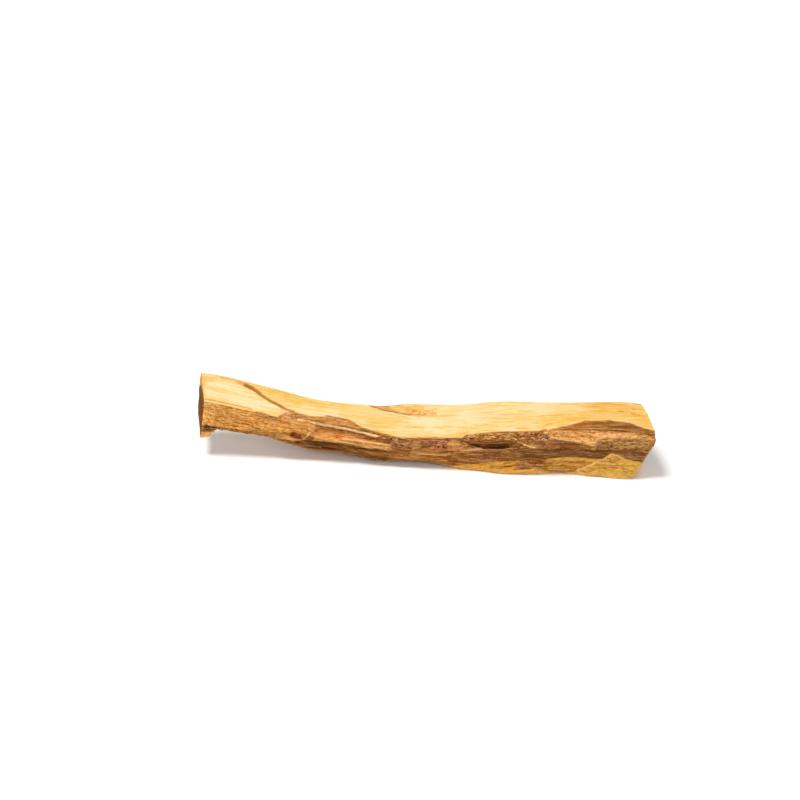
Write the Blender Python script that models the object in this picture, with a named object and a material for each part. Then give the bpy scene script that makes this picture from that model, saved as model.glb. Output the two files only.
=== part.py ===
import math

import bmesh
import bpy
from mathutils import Matrix, Vector, noise

# Palo santo stick
# One length of split wood about 100 mm long, lying on its flat sawn underside.
# It is thick at the right end and thinner in the middle, and its left third bends up and back.
# Lengths in this file are in millimetres. The finished mesh is in metres.
# X runs along the stick, Y from its front to its back and Z up.

MM = 0.001

# Ends of the stick, where the edge between top and front meets each saw cut
LEFT_END = -48.4
RIGHT_END = 48.9
# How far each saw cut slants: change of X for each millimetre of Y and of Z
LEFT_SLANT = (-0.163, 0.134)
RIGHT_SLANT = (-0.175, 0.10)
# The broken lower front corner of the right end
CORNER_X = 44.3
CORNER_SLANT = (0.35, 0.50)

# Turn in plan that lays the length of the stick along X
TURN_DEG = 4.8

# Largest and smallest step between two sections along the stick
SECTION_STEP = 2.0
SMALLEST_STEP = 0.34

# Unevenness of the split faces and of the smoother top face, and the noise that it comes from:
# its length along the stick, its width in strips round it and its seed
ROUGH = 0.16
SMOOTH = 0.06
FIBRE_LENGTH = 9.0
FIBRE_WIDTH = 1.1
FIBRE_SEED = 3.0

# How near two points count as one where an end is sawn off, and edges this short are dropped
CUT_TOLERANCE = 0.0001
SHORTEST_EDGE = 0.01

# Colour (red, green, blue, alpha) and roughness of the wood
WOOD_COLOUR = (0.60, 0.38, 0.18, 1.0)
WOOD_ROUGHNESS = 0.75

# Edges that run along the stick, each as points (x, y, z)
TOP_BACK = [
    (-53, 13.9, 16.0), (-46, 13.0, 15.4), (-40, 12.2, 14.3), (-31, 11.0, 12.4), (-25, 10.2, 11.0),
    (-19, 9.6, 10.4), (-10, 8.8, 10.0), (-4, 8.4, 10.9), (5, 7.9, 10.8), (17, 7.4, 12.0),
    (30, 7.0, 11.9), (41, 7.0, 12.2), (52, 6.6, 11.0),
]
TOP_CREASE = [
    (-53, 13.0, 16.2), (-44, 11.9, 15.2), (-40, 10.2, 14.4), (-36, 8.4, 13.3), (-31, 5.0, 11.7),
    (-27, 4.0, 11.1), (-16, 5.5, 10.2), (-4, 3.6, 9.6), (10, 3.2, 10.6), (30, 2.6, 12.1),
    (52, 1.8, 11.9),
]
TOP_FRONT = [
    (-53, 3.8, 15.2), (-48, 3.6, 14.1), (-44, 3.5, 13.0), (-39, 3.3, 12.1), (-35, 2.9, 11.1),
    (-30, 2.7, 10.8), (-24, 2.8, 10.8), (-18, 2.9, 9.8), (-14.5, 2.2, 9.2), (-11, 0.9, 7.9),
    (-5, -1.2, 7.3), (3.5, -2.0, 7.6), (7.8, -2.1, 8.2), (9.8, -2.2, 9.1), (19, -2.9, 9.8),
    (24, -3.1, 10.3), (29, -2.8, 11.3), (34, -1.9, 12.1), (41, -1.7, 12.1), (45, -2.9, 11.6),
    (52, -5.2, 11.0),
]
UPPER_LIP = [
    (-53, 3.4, 13.4), (-44, 3.1, 11.8), (-36, 2.6, 10.4), (-30, 2.2, 9.9), (-24, 2.2, 9.2),
    (-18, 1.9, 8.0), (-14.5, 1.3, 7.5), (-11, 0.5, 6.9), (-5, -1.5, 6.4), (3.5, -2.3, 6.5),
    (8, -2.8, 6.9), (16, -3.7, 7.5), (20, -3.7, 8.4), (25.2, -3.6, 8.9), (26.2, -3.3, 10.3),
    (36, -3.5, 10.7), (40, -3.7, 10.8), (45, -4.4, 10.7), (52, -5.6, 10.6),
]
UNDERCUT = [
    (-53, 3.4, 11.6), (-44, 3.2, 10.2), (-30, 2.2, 8.5), (-24.4, 2.0, 8.2), (-23.7, 3.2, 8.0),
    (-18, 2.9, 7.1), (-14.5, 2.3, 6.6), (-11, 1.0, 5.9), (-8, -0.3, 5.6), (0, -1.6, 5.4),
    (8, -2.2, 5.8), (9.2, -1.7, 6.0), (16.5, -2.4, 6.4), (18.2, -3.9, 7.1), (25.2, -4.1, 7.6),
    (26.2, -3.0, 10.0), (36, -3.0, 10.3), (42, -3.4, 10.3), (52, -5.2, 10.2),
]
SHELF_EDGE = [
    (-53, 3.2, 10.1), (-44, 2.9, 8.8), (-36, 2.3, 7.8), (-30, 1.7, 6.6), (-24, 1.1, 6.2),
    (-18, 0.3, 5.5), (-14.5, -0.3, 5.0), (-11, -0.8, 4.9), (-5, -1.7, 4.2), (3.5, -2.4, 4.1),
    (9.8, -3.0, 5.5), (16, -3.6, 6.1), (25.2, -4.6, 6.7), (26.2, -4.3, 9.4), (30, -4.7, 8.9),
    (33, -5.1, 8.4), (35.9, -5.5, 7.8), (36.9, -5.0, 9.5), (41, -5.2, 9.9), (45, -5.7, 10.1),
    (52, -6.0, 9.6),
]
LOWER_BELLY = [
    (-53, 3.4, 8.2), (-44, 3.0, 7.5), (-36, 2.2, 6.8), (-30, 1.6, 5.2), (-24, 0.9, 4.5),
    (-18, 0.4, 4.0), (-11, -0.9, 2.9), (-5, -1.5, 2.4), (3.5, -1.9, 2.1), (8, -2.6, 1.4),
    (10, -2.9, 1.9), (16, -4.2, 3.3), (24, -4.7, 4.3), (33, -4.9, 4.9), (36, -5.2, 4.9),
    (40, -5.7, 6.3), (43, -6.0, 5.3), (52, -6.2, 4.0),
]
BOTTOM_FRONT = [
    (-53, 3.8, 4.0), (-47.6, 3.7, 4.5), (-47.0, 3.3, 6.1), (-45.7, 3.3, 6.9), (-43, 3.1, 6.5),
    (-36, 2.3, 5.8), (-30, 1.7, 4.1), (-24, 1.2, 2.6), (-18, 0.9, 2.3), (-14.5, 0.5, 1.5),
    (-11, 0.0, 1.0), (-5, -0.4, 1.2), (0, -0.8, 1.0), (3.5, -1.4, 0.6), (8, -2.3, 0.1),
    (10, -2.5, 0.0), (16, -4.0, 0.0), (20, -4.4, 0.0), (28, -3.8, 0.0), (36, -5.1, 0.0),
    (42, -6.0, 0.0), (52, -6.0, 0.0),
]
FLAT_FRONT = [
    (-53, 5.6, 5.2), (-47.6, 5.8, 5.3), (-46.8, 6.0, 6.2), (-43, 5.6, 6.0), (-36, 4.8, 4.9),
    (-30, 4.2, 3.4), (-24, 3.6, 2.0), (-18, 3.0, 0.9), (-12, 2.6, 0.0), (0, 1.4, 0.0),
    (8, -0.4, 0.0), (16, -2.4, 0.0), (30, -2.4, 0.0), (52, -4.4, 0.0),
]
FLAT_BACK = [
    (-53, 12.4, 6.2), (-43, 12.0, 5.8), (-36, 11.0, 4.7), (-30, 10.2, 3.3), (-24, 9.4, 1.9),
    (-18, 8.8, 0.9), (-12, 8.2, 0.0), (0, 7.2, 0.0), (16, 6.4, 0.0), (30, 5.8, 0.0),
    (52, 5.4, 0.0),
]
BACK_FOOT = [
    (-53, 13.4, 7.6), (-43, 12.8, 7.0), (-30, 11.2, 4.6), (-18, 9.8, 2.2), (-10, 9.0, 1.2),
    (0, 8.2, 1.5), (16, 7.6, 1.2), (24, 7.4, 2.4), (36, 6.6, 1.6), (52, 6.2, 1.4),
]
BACK_STEP_IN = [
    (-53, 13.3, 10.2), (-43, 12.7, 9.4), (-34, 11.5, 8.0), (-32.8, 10.7, 7.4), (-24, 9.8, 5.4),
    (-12, 8.9, 4.4), (-3, 8.5, 4.8), (-2.2, 9.0, 5.2), (10, 8.3, 5.4), (21, 7.6, 5.6),
    (22, 6.6, 5.4), (34, 6.4, 5.0), (44, 6.9, 5.2), (52, 6.7, 5.0),
]
BACK_STEP_OUT = [
    (-53, 14.3, 10.6), (-43, 13.5, 9.9), (-34, 12.4, 8.6), (-24, 11.2, 6.6), (-12, 10.1, 5.7),
    (0, 9.5, 6.2), (10, 9.1, 6.4), (21, 8.4, 6.6), (34, 7.9, 6.4), (44, 8.0, 6.6),
    (52, 7.8, 6.2),
]
BACK_SHOULDER = [
    (-53, 14.6, 13.6), (-43, 13.4, 12.5), (-31, 11.9, 10.4), (-19, 10.5, 8.6), (-10, 9.6, 8.4),
    (5, 8.8, 9.0), (17, 8.3, 9.9), (30, 7.8, 9.8), (41, 7.8, 10.0), (52, 7.5, 9.2),
]

# The edges in order round the section, each with the number of strips from it to the next one
# and the unevenness of those strips
EDGES = [
    (TOP_BACK, 3, SMOOTH), (TOP_CREASE, 3, SMOOTH), (TOP_FRONT, 2, ROUGH), (UPPER_LIP, 1, ROUGH),
    (UNDERCUT, 2, ROUGH), (SHELF_EDGE, 3, ROUGH), (LOWER_BELLY, 3, ROUGH), (BOTTOM_FRONT, 2, 0.0),
    (FLAT_FRONT, 2, 0.0), (FLAT_BACK, 1, 0.0), (BACK_FOOT, 2, ROUGH), (BACK_STEP_IN, 1, ROUGH),
    (BACK_STEP_OUT, 3, ROUGH), (BACK_SHOULDER, 2, ROUGH),
]

# Places where a strip of fibres has torn away: the X of the blunt end, the X where it runs out,
# the first and last place round the section (edge number and fraction) and the depth
TEARS = [
    (-46.0, -38.0, 3.9, 5.6, 0.40),
    (-33.0, -42.0, 5.4, 6.8, 0.45),
    (-29.6, -26.8, 4.9, 5.4, 0.75),
    (-23.0, -15.5, 6.2, 6.8, 0.35),
    (-3.5, -9.0, 4.8, 5.9, 0.40),
    (5.5, -2.0, 3.2, 4.6, 0.35),
    (25.0, 18.5, 2.4, 3.2, 0.50),
    (12.0, 22.0, 5.2, 5.8, 0.35),
    (28.5, 36.5, 5.2, 5.9, 0.40),
    (34.5, 24.0, 6.3, 6.8, 0.35),
    (41.0, 34.6, 6.2, 6.9, 0.35),
    (-36.0, -27.0, 12.2, 12.9, 0.45),
    (8.0, -6.0, 12.2, 12.8, 0.45),
    (14.0, 30.0, 12.5, 13.2, 0.40),
    (-14.0, -26.0, 10.2, 10.8, 0.40),
    (39.0, 30.0, 10.3, 10.9, 0.35),
]

# How far the two sections at a tear's blunt end lie from it, outside the tear and inside it
TEAR_OUTSIDE = 0.105
TEAR_INSIDE = 0.35


def curve_at(points, x):
    """Y and Z at X on a smooth curve through the points that does not overshoot them."""
    xs = [p[0] for p in points]
    last = len(xs) - 2
    span = next((i for i in range(last + 1) if x <= xs[i + 1]), last)
    width = xs[span + 1] - xs[span]
    t = (x - xs[span]) / width
    place = []
    for axis in (1, 2):
        values = [p[axis] for p in points]
        slopes = [(values[i + 1] - values[i]) / (xs[i + 1] - xs[i]) for i in range(last + 1)]
        start = knot_slope(slopes, span)
        end = knot_slope(slopes, span + 1)
        a, b = values[span], values[span + 1]
        place.append(
            a * (1 + 2 * t) * (1 - t) ** 2 + b * t * t * (3 - 2 * t)
            + width * (start * t * (1 - t) ** 2 - end * t * t * (1 - t))
        )
    return place


def knot_slope(slopes, knot):
    """Slope at a point between two spans: zero where the curve turns back."""
    if knot == 0 or knot == len(slopes):
        return slopes[min(knot, len(slopes) - 1)]
    before, after = slopes[knot - 1], slopes[knot]
    if before * after <= 0.0:
        return 0.0
    return 2.0 * before * after / (before + after)


def section_places():
    """X of every section: at each edge point, at each tear's blunt end, and between them."""
    places = {float(p[0]) for edge, _, _ in EDGES for p in edge}
    for blunt, run_out, _, _, _ in TEARS:
        side = math.copysign(1.0, run_out - blunt)
        places.update((blunt - side * TEAR_OUTSIDE, blunt + side * TEAR_INSIDE))
    places = sorted(places)
    kept = places[:1]
    for x in places[1:]:
        start = kept[-1]
        if x - start < SMALLEST_STEP:
            continue
        parts = math.ceil((x - start) / SECTION_STEP)
        kept += [start + (x - start) * i / parts for i in range(1, parts + 1)]
    return kept


def tear_depth(x, place):
    """Depth of the wood torn away at this X and place round the section."""
    depth = 0.0
    for blunt, run_out, first, last, deepest in TEARS:
        along = (x - blunt) / (run_out - blunt)
        if first <= place <= last and 0.0 <= along < 1.0:
            depth = max(depth, deepest * (1.0 - along))
    return depth


def section_at(x):
    """Corners (y, z) of the stick's section at X, in order round it."""
    edges = [curve_at(edge, x) for edge, _, _ in EDGES]
    points = []
    for i, (_, strips, rough) in enumerate(EDGES):
        here, there = edges[i], edges[(i + 1) % len(edges)]
        for k in range(strips):
            t = k / strips
            y = here[0] + (there[0] - here[0]) * t
            z = here[1] + (there[1] - here[1]) * t
            points.append((y, z, i + t, rough))
    corners = []
    for k, (y, z, place, rough) in enumerate(points):
        before, after = points[k - 1], points[(k + 1) % len(points)]
        across = Vector((after[0] - before[0], after[1] - before[1])).normalized()
        uneven = noise.noise(Vector((x / FIBRE_LENGTH, k / FIBRE_WIDTH, FIBRE_SEED)))
        shift = min(rough, before[3] if place == int(place) else rough) * uneven
        shift -= tear_depth(x, place)
        corners.append((y + across.y * shift, max(0.0, z - across.x * shift)))
    return corners


def cut_end(bm, point, normal):
    """Saw the solid off at a plane and close the cut."""
    geometry = bm.verts[:] + bm.edges[:] + bm.faces[:]
    cut = bmesh.ops.bisect_plane(
        bm, geom=geometry, dist=CUT_TOLERANCE, plane_co=point, plane_no=normal, clear_outer=True
    )
    rim = [e for e in cut["geom_cut"] if isinstance(e, bmesh.types.BMEdge)]
    bmesh.ops.triangle_fill(bm, use_beauty=True, edges=rim, normal=normal)


def build_stick():
    """The whole stick as one closed mesh."""
    bm = bmesh.new()
    rings = []
    for x in section_places():
        rings.append([bm.verts.new((x, y, z)) for y, z in section_at(x)])
    count = len(rings[0])
    for ring, following in zip(rings, rings[1:]):
        for k in range(count):
            n = (k + 1) % count
            bm.faces.new((ring[k], ring[n], following[n], following[k]))
    bm.faces.new(rings[0])
    bm.faces.new(reversed(rings[-1]))

    bmesh.ops.triangulate(bm, faces=bm.faces[:])
    y, z = curve_at(TOP_FRONT, LEFT_END)
    cut_end(bm, (LEFT_END, y, z), (-1.0, LEFT_SLANT[0], LEFT_SLANT[1]))
    y, z = curve_at(SHELF_EDGE, RIGHT_END)
    cut_end(bm, (RIGHT_END, y, z), (1.0, -RIGHT_SLANT[0], -RIGHT_SLANT[1]))
    y, z = curve_at(BOTTOM_FRONT, CORNER_X)
    cut_end(bm, (CORNER_X, y, z), (1.0, -CORNER_SLANT[0], -CORNER_SLANT[1]))

    bmesh.ops.dissolve_degenerate(bm, edges=bm.edges[:], dist=SHORTEST_EDGE)
    bmesh.ops.triangulate(bm, faces=bm.faces[:])
    bmesh.ops.recalc_face_normals(bm, faces=bm.faces[:])
    return bm


def place_stick(bm):
    """Turn the stick along X, stand it on Z = 0 over the origin and change it to metres."""
    bmesh.ops.transform(bm, matrix=Matrix.Rotation(math.radians(TURN_DEG), 4, "Z"), verts=bm.verts)
    low = [min(v.co[i] for v in bm.verts) for i in range(3)]
    high = [max(v.co[i] for v in bm.verts) for i in range(3)]
    middle = Vector(((low[0] + high[0]) / 2, (low[1] + high[1]) / 2, low[2]))
    bmesh.ops.translate(bm, vec=-middle, verts=bm.verts)
    bmesh.ops.scale(bm, vec=(MM, MM, MM), verts=bm.verts)


def wood_material():
    """Plain pale brown wood."""
    material = bpy.data.materials.new("wood")
    material.use_nodes = True
    shader = material.node_tree.nodes["Principled BSDF"]
    shader.inputs["Base Color"].default_value = WOOD_COLOUR
    shader.inputs["Roughness"].default_value = WOOD_ROUGHNESS
    return material


def main():
    for thing in list(bpy.data.objects):
        bpy.data.objects.remove(thing, do_unlink=True)
    bm = build_stick()
    place_stick(bm)
    mesh = bpy.data.meshes.new("stick")
    bm.to_mesh(mesh)
    bm.free()
    mesh.materials.append(wood_material())
    bpy.context.scene.collection.objects.link(bpy.data.objects.new("stick", mesh))


main()
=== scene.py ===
import math
from dataclasses import dataclass

import bpy
import numpy as np
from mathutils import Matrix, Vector, noise
from mathutils.bvhtree import BVHTree


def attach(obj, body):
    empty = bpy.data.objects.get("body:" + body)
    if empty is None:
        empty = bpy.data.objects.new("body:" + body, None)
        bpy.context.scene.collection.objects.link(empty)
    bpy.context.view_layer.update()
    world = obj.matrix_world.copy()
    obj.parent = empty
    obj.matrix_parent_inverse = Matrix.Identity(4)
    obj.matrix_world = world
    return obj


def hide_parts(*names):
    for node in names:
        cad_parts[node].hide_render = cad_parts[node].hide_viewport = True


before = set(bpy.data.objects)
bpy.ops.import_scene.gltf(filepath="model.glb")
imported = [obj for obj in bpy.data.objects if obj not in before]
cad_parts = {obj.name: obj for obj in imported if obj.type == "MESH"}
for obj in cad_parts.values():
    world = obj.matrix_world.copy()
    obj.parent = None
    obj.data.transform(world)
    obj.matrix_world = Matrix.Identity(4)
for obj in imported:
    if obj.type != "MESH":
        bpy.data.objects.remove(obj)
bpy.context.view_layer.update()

# Looks of the palo santo stick
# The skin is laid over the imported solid, ring by ring, and then given fibres, splits and saw marks.
# Lengths are in millimetres unless a name says otherwise. X runs along the stick, Z up.

MM = 0.001

# Skin: rings along the stick, columns round it, and rings on each cut end. The columns lie closest at
# FINEST, an angle from the front over the top, by the share CLOSER. The first and last rings lie inside the
# saw cuts by END_INSET.
RINGS = 420
COLUMNS = 206
CAP_RINGS = 14
FINEST = 0.5
CLOSER = 0.42
END_INSET = 0.03

# Middle of the stick, as points (x, y, z), the length over which the rings turn to the saw cuts, and the
# distance from X 0 at which the search for each cut starts
AXIS = [(-48.3, 0.2, 10.5), (-27.0, -0.5, 7.5), (-5.0, -1.4, 5.2), (21.0, -1.0, 5.9), (47.0, 0.0, 6.0)]
TURN_LENGTH = 14.0
NEAR_CUT = 40.0

# Edge between pale sapwood and brown heartwood: along the front as pixels of the photograph's 800 x 800
# frame, and along the back as (x, z) at BACK_Y. Between them it runs over the saw cuts in a bow, whose rise
# is given as (x, height).
SAP_FRONT = [
    (204, 401.4), (224, 405.6), (240, 409.2), (257, 411.6), (270, 415.2), (277, 416.8), (284, 413.4),
    (290, 411), (300, 413.6), (312, 416.6), (328, 415.2), (342, 418), (350, 420.4), (360, 426), (370, 430),
    (385, 434), (395, 436.8), (402, 437.8), (462, 438.2), (467, 434.4), (480, 433.2), (500, 431.6),
    (539, 431), (544, 428.6), (548, 430), (553, 428.4), (563, 426.6), (577, 423.4), (584, 420.8),
    (610, 420.2), (630, 423), (641, 427.2), (653, 430.6),
]
SAP_BACK = [
    (-51, 11.6), (-43, 9.4), (-36, 8.6), (-27, 7.2), (-19, 4.4), (-10, 3), (0, 3.6), (9, 2.4), (17, 3.4),
    (26, 5.6), (33, 4.6), (42, 6.2), (51, 5.6),
]
BACK_Y = 6.5
EDGE_BOW = [(-50.6, 1.8), (-46.0, 0.9), (50.6, 0.9)]

# Edge between brown heartwood and the golden wood under it, low on the right, given in the same way. It
# comes out from under the stick at GOLD_START, and crosses the underside slantwise in tongues that are
# GOLD_TONGUES high.
GOLD_FRONT = [
    (450, 466.8), (464, 465), (486, 463.4), (502, 461.8), (520, 460.6), (540, 459.6), (560, 457.8),
    (580, 457.6), (602, 459.2), (607, 456), (612, 453.2), (619, 455.8), (628, 459.8), (641, 462.6),
]
GOLD_BACK = [
    (-52, -8), (10, -7), (22, -4), (31, 0.6), (37, 2), (43, 2.4), (52, 2),
]
GOLD_START = [(-52.0, -5.0, -6.0), (3.5, -6.0, -6.0)]
GOLD_TONGUES = 5.0

# Pith of the tree, far below the stick: (y, z), its distance from the middle of the stick, and the gap
# between the growth rings that run round it
PITH = (4.0, -38.0)
PITH_DISTANCE = 46.0
RING_GAP = 1.25

# Relief of torn and of planed wood: heights of its ledges, coarse waves, strands, crumbs and splits. The
# skin lies MEAN_RELIEF lower, so that on the whole it keeps to the solid. The flat underside has only the
# share UNDERSIDE_RELIEF of it, and the long strips of the hidden sides rise and sink by the STRIP values.
TORN_RELIEF = (0.26, 0.10, 0.16, 0.16, -0.15)
PLANED_RELIEF = (0.0, 0.04, 0.035, 0.0, -0.06)
MEAN_RELIEF = 0.08
UNDERSIDE_RELIEF = 0.15
STRIP_RISE = 0.10
STRIP_DEPTH = 0.16

# How torn plain sapwood is, from 0 planed to 1 torn
SAP_TORN = 0.06

# Relief of the saw cuts, how deep they lie inside the rim, and the powers that space the rings on them and
# let the depth begin close to the rim
SAW_RELIEF = 0.02
RING_RELIEF = 0.03
PORE_RELIEF = 0.05
CUT_DEPTH = 0.06
CAP_SPACING = 1.15
RIM_HOLD = 12

# Loose fibres on the torn wood: how many, their length, half width, lift at the tip, depth of the root and
# turn from the grain, and the rings at each end that have none
FIBRES = 5000
FIBRE_LENGTH = (0.3, 1.4)
FIBRE_WIDTH = (0.03, 0.07)
FIBRE_LIFT = 0.09
FIBRE_ROOT = 0.10
FIBRE_TURN = 0.16
FIBRE_MARGIN = 8
FIBRE_SEED = 5

# Points of a fibre, which are its root, three round its middle and its tip, and its faces
FIBRE_POINTS = 5
FIBRE_FACES = [(0, 2, 1), (0, 1, 3), (0, 3, 2), (4, 1, 2), (4, 3, 1), (4, 2, 3)]

# How far the outside has to face the camera, or +Y, for marks of the front, or of the back, to begin and
# to be whole: 1 faces it fully, 0 lies sideways
FACING_CAMERA = (-0.18, 0.02)
FACING_BACK = (0.2, 0.5)

# How far the grain pulls the edges of marks about, along and across: in pixels on the front's heartwood and
# sapwood, and in millimetres on the back
HEART_PULL = (4.0, 0.8)
SAP_PULL = (1.2, 0.48)
BACK_PULL = (1.0, 0.16)

# Camera: the point it looks at, its distance, direction and lens, and the photograph's frame
LOOK_AT = (-4.9, -0.9, 14.0)
CAMERA_DISTANCE = 434.0
CAMERA_AZIMUTH = 4.8
CAMERA_ELEVATION = 30.0
LENS = 90.0
SENSOR = 36.0
FRAME_PIXELS = 800

# Studio, in metres and watts: the floor, the world's light, and soft lights as (place, size, power)
FLOOR_SIZE = 4.0
FLOOR_COLOUR = (0.93, 0.93, 0.93, 1.0)
WORLD_STRENGTH = 0.42
LIGHT_COLOUR = (1.0, 0.98, 0.95)
LIGHTS = {
    "key": ((-0.30, -0.10, 0.95), 0.30, 7.8),
    "fill": ((0.35, -0.9, 0.6), 0.5, 3.5),
    "back": ((0.20, 0.9, 0.35), 0.5, 2.2),
}

# Map of the skin, in shares of its width and height: the sides' margin and size, and the end discs' radius
# and places
MAP_EDGE = 0.01
MAP_SIDES = (0.76, 0.98)
MAP_DISC = 0.09
MAP_DISC_ACROSS = 0.89
MAP_DISCS_UP = (0.25, 0.75)

# Sapwood colours, linear
WHITISH = (0.80, 0.65, 0.38)
CREAM = (0.78, 0.585, 0.290)
BUTTER = (0.76, 0.51, 0.165)
YELLOW = (0.71, 0.45, 0.090)
HONEY = (0.72, 0.385, 0.062)
APRICOT = (0.82, 0.42, 0.110)
AMBER = (0.74, 0.33, 0.060)
OCHRE = (0.60, 0.27, 0.065)
RUST = (0.54, 0.20, 0.045)
VEIN = (0.42, 0.155, 0.032)
DARK_VEIN = (0.26, 0.098, 0.020)
CREASE = (0.38, 0.155, 0.017)
GREY_VEIN = (0.46, 0.29, 0.11)

# Heartwood colours, linear
PALE_CHIP = (0.95, 0.575, 0.235)
BRIGHT_CHIP = (1.0, 0.67, 0.33)
PEACH = (0.86, 0.46, 0.20)
FACET = (0.96, 0.475, 0.135)
GOLDEN = (1.0, 0.455, 0.076)
BRIGHT_GOLDEN = (0.98, 0.52, 0.125)
TAN = (0.76, 0.36, 0.100)
SHELF = (0.66, 0.27, 0.070)
HATCHED = (0.54, 0.235, 0.055)
PINKISH = (0.58, 0.26, 0.100)
ROSE = (0.72, 0.38, 0.22)
PALE_BROWN = (0.44, 0.208, 0.057)
WARM_BROWN = (0.350, 0.096, 0.004)
PINK_BROWN = (0.355, 0.100, 0.020)
PLUM = (0.20, 0.053, 0.022)
BROWN = (0.255, 0.091, 0.014)
DARK_GOLD = (0.36, 0.150, 0.026)
OLIVE = (0.25, 0.130, 0.034)
RED_BROWN = (0.45, 0.138, 0.030)
TORN_RED = (0.475, 0.125, 0.016)
KNOT_RED = (0.295, 0.060, 0.007)
CHESTNUT = (0.23, 0.082, 0.017)
PURPLE_BROWN = (0.213, 0.075, 0.028)
DARK_PLANE = (0.162, 0.061, 0.014)
UMBER = (0.125, 0.040, 0.007)
MAROON = (0.18, 0.042, 0.014)
# Near black: painted shade in gaps, holes and grooves, and along the bottom edge
GAP_SHADE = (0.055, 0.019, 0.005)

# Colours of the saw cuts, linear
END_SAP = (0.72, 0.44, 0.15)
END_HEART = (0.22, 0.080, 0.014)
END_RAY = (0.48, 0.24, 0.060)

# Golden wood colours, linear
GOLD = (0.74, 0.33, 0.026)
GOLD_TIP = (0.86, 0.48, 0.085)
GOLD_TAN = (0.54, 0.257, 0.036)
GOLD_PALE = (0.72, 0.385, 0.066)
GOLD_BROWN = (0.225, 0.068, 0.001)
GOLD_OLIVE = (0.56, 0.34, 0.048)
GOLD_SHADE = (0.30, 0.125, 0.018)
# painted shadow over a pale lip
GOLD_SHADOW = (0.15, 0.056, 0.005)

# Shades by which colours are multiplied: for late wood and pores of the saw cuts, grain and pores of the
# sapwood, grain and painted shade of the heartwood, and loose fibres
LATE_WOOD = (0.70, 0.58, 0.40)
END_PORE = (0.42, 0.32, 0.24)
SAP_SHADE = (0.92, 0.77, 0.49)
SAP_PORE = (0.78, 0.56, 0.32)
HEART_SHADE = (0.51, 0.33, 0.13)
FIBRE_SHADE = (0.70, 0.60, 0.50)


@dataclass
class Mark:
    """A patch or stroke on the wood, in pixels of the photograph's frame, or in millimetres on the back."""

    points: list            # outline of a patch, or middle line of a stroke
    colour: tuple
    width: float = 0.0      # half width of a stroke, 0 for a patch
    soft: float = 0.8       # width of the edge over which it fades
    cover: float = 1.0      # share of the wood under it that it hides
    ragged: float = 1.0     # how far the grain pulls the edge about
    torn: float = -1.0      # how rough the wood is, 0 planed to 1 torn; below 0 it stays as it was
    height: float = 0.0     # millimetres over the wood round it


def stroke(colour, width, *paths, cover=0.8, **looks):
    """Strokes of the same look along several paths."""
    return [Mark(path, colour, width=width, cover=cover, **looks) for path in paths]


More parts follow.
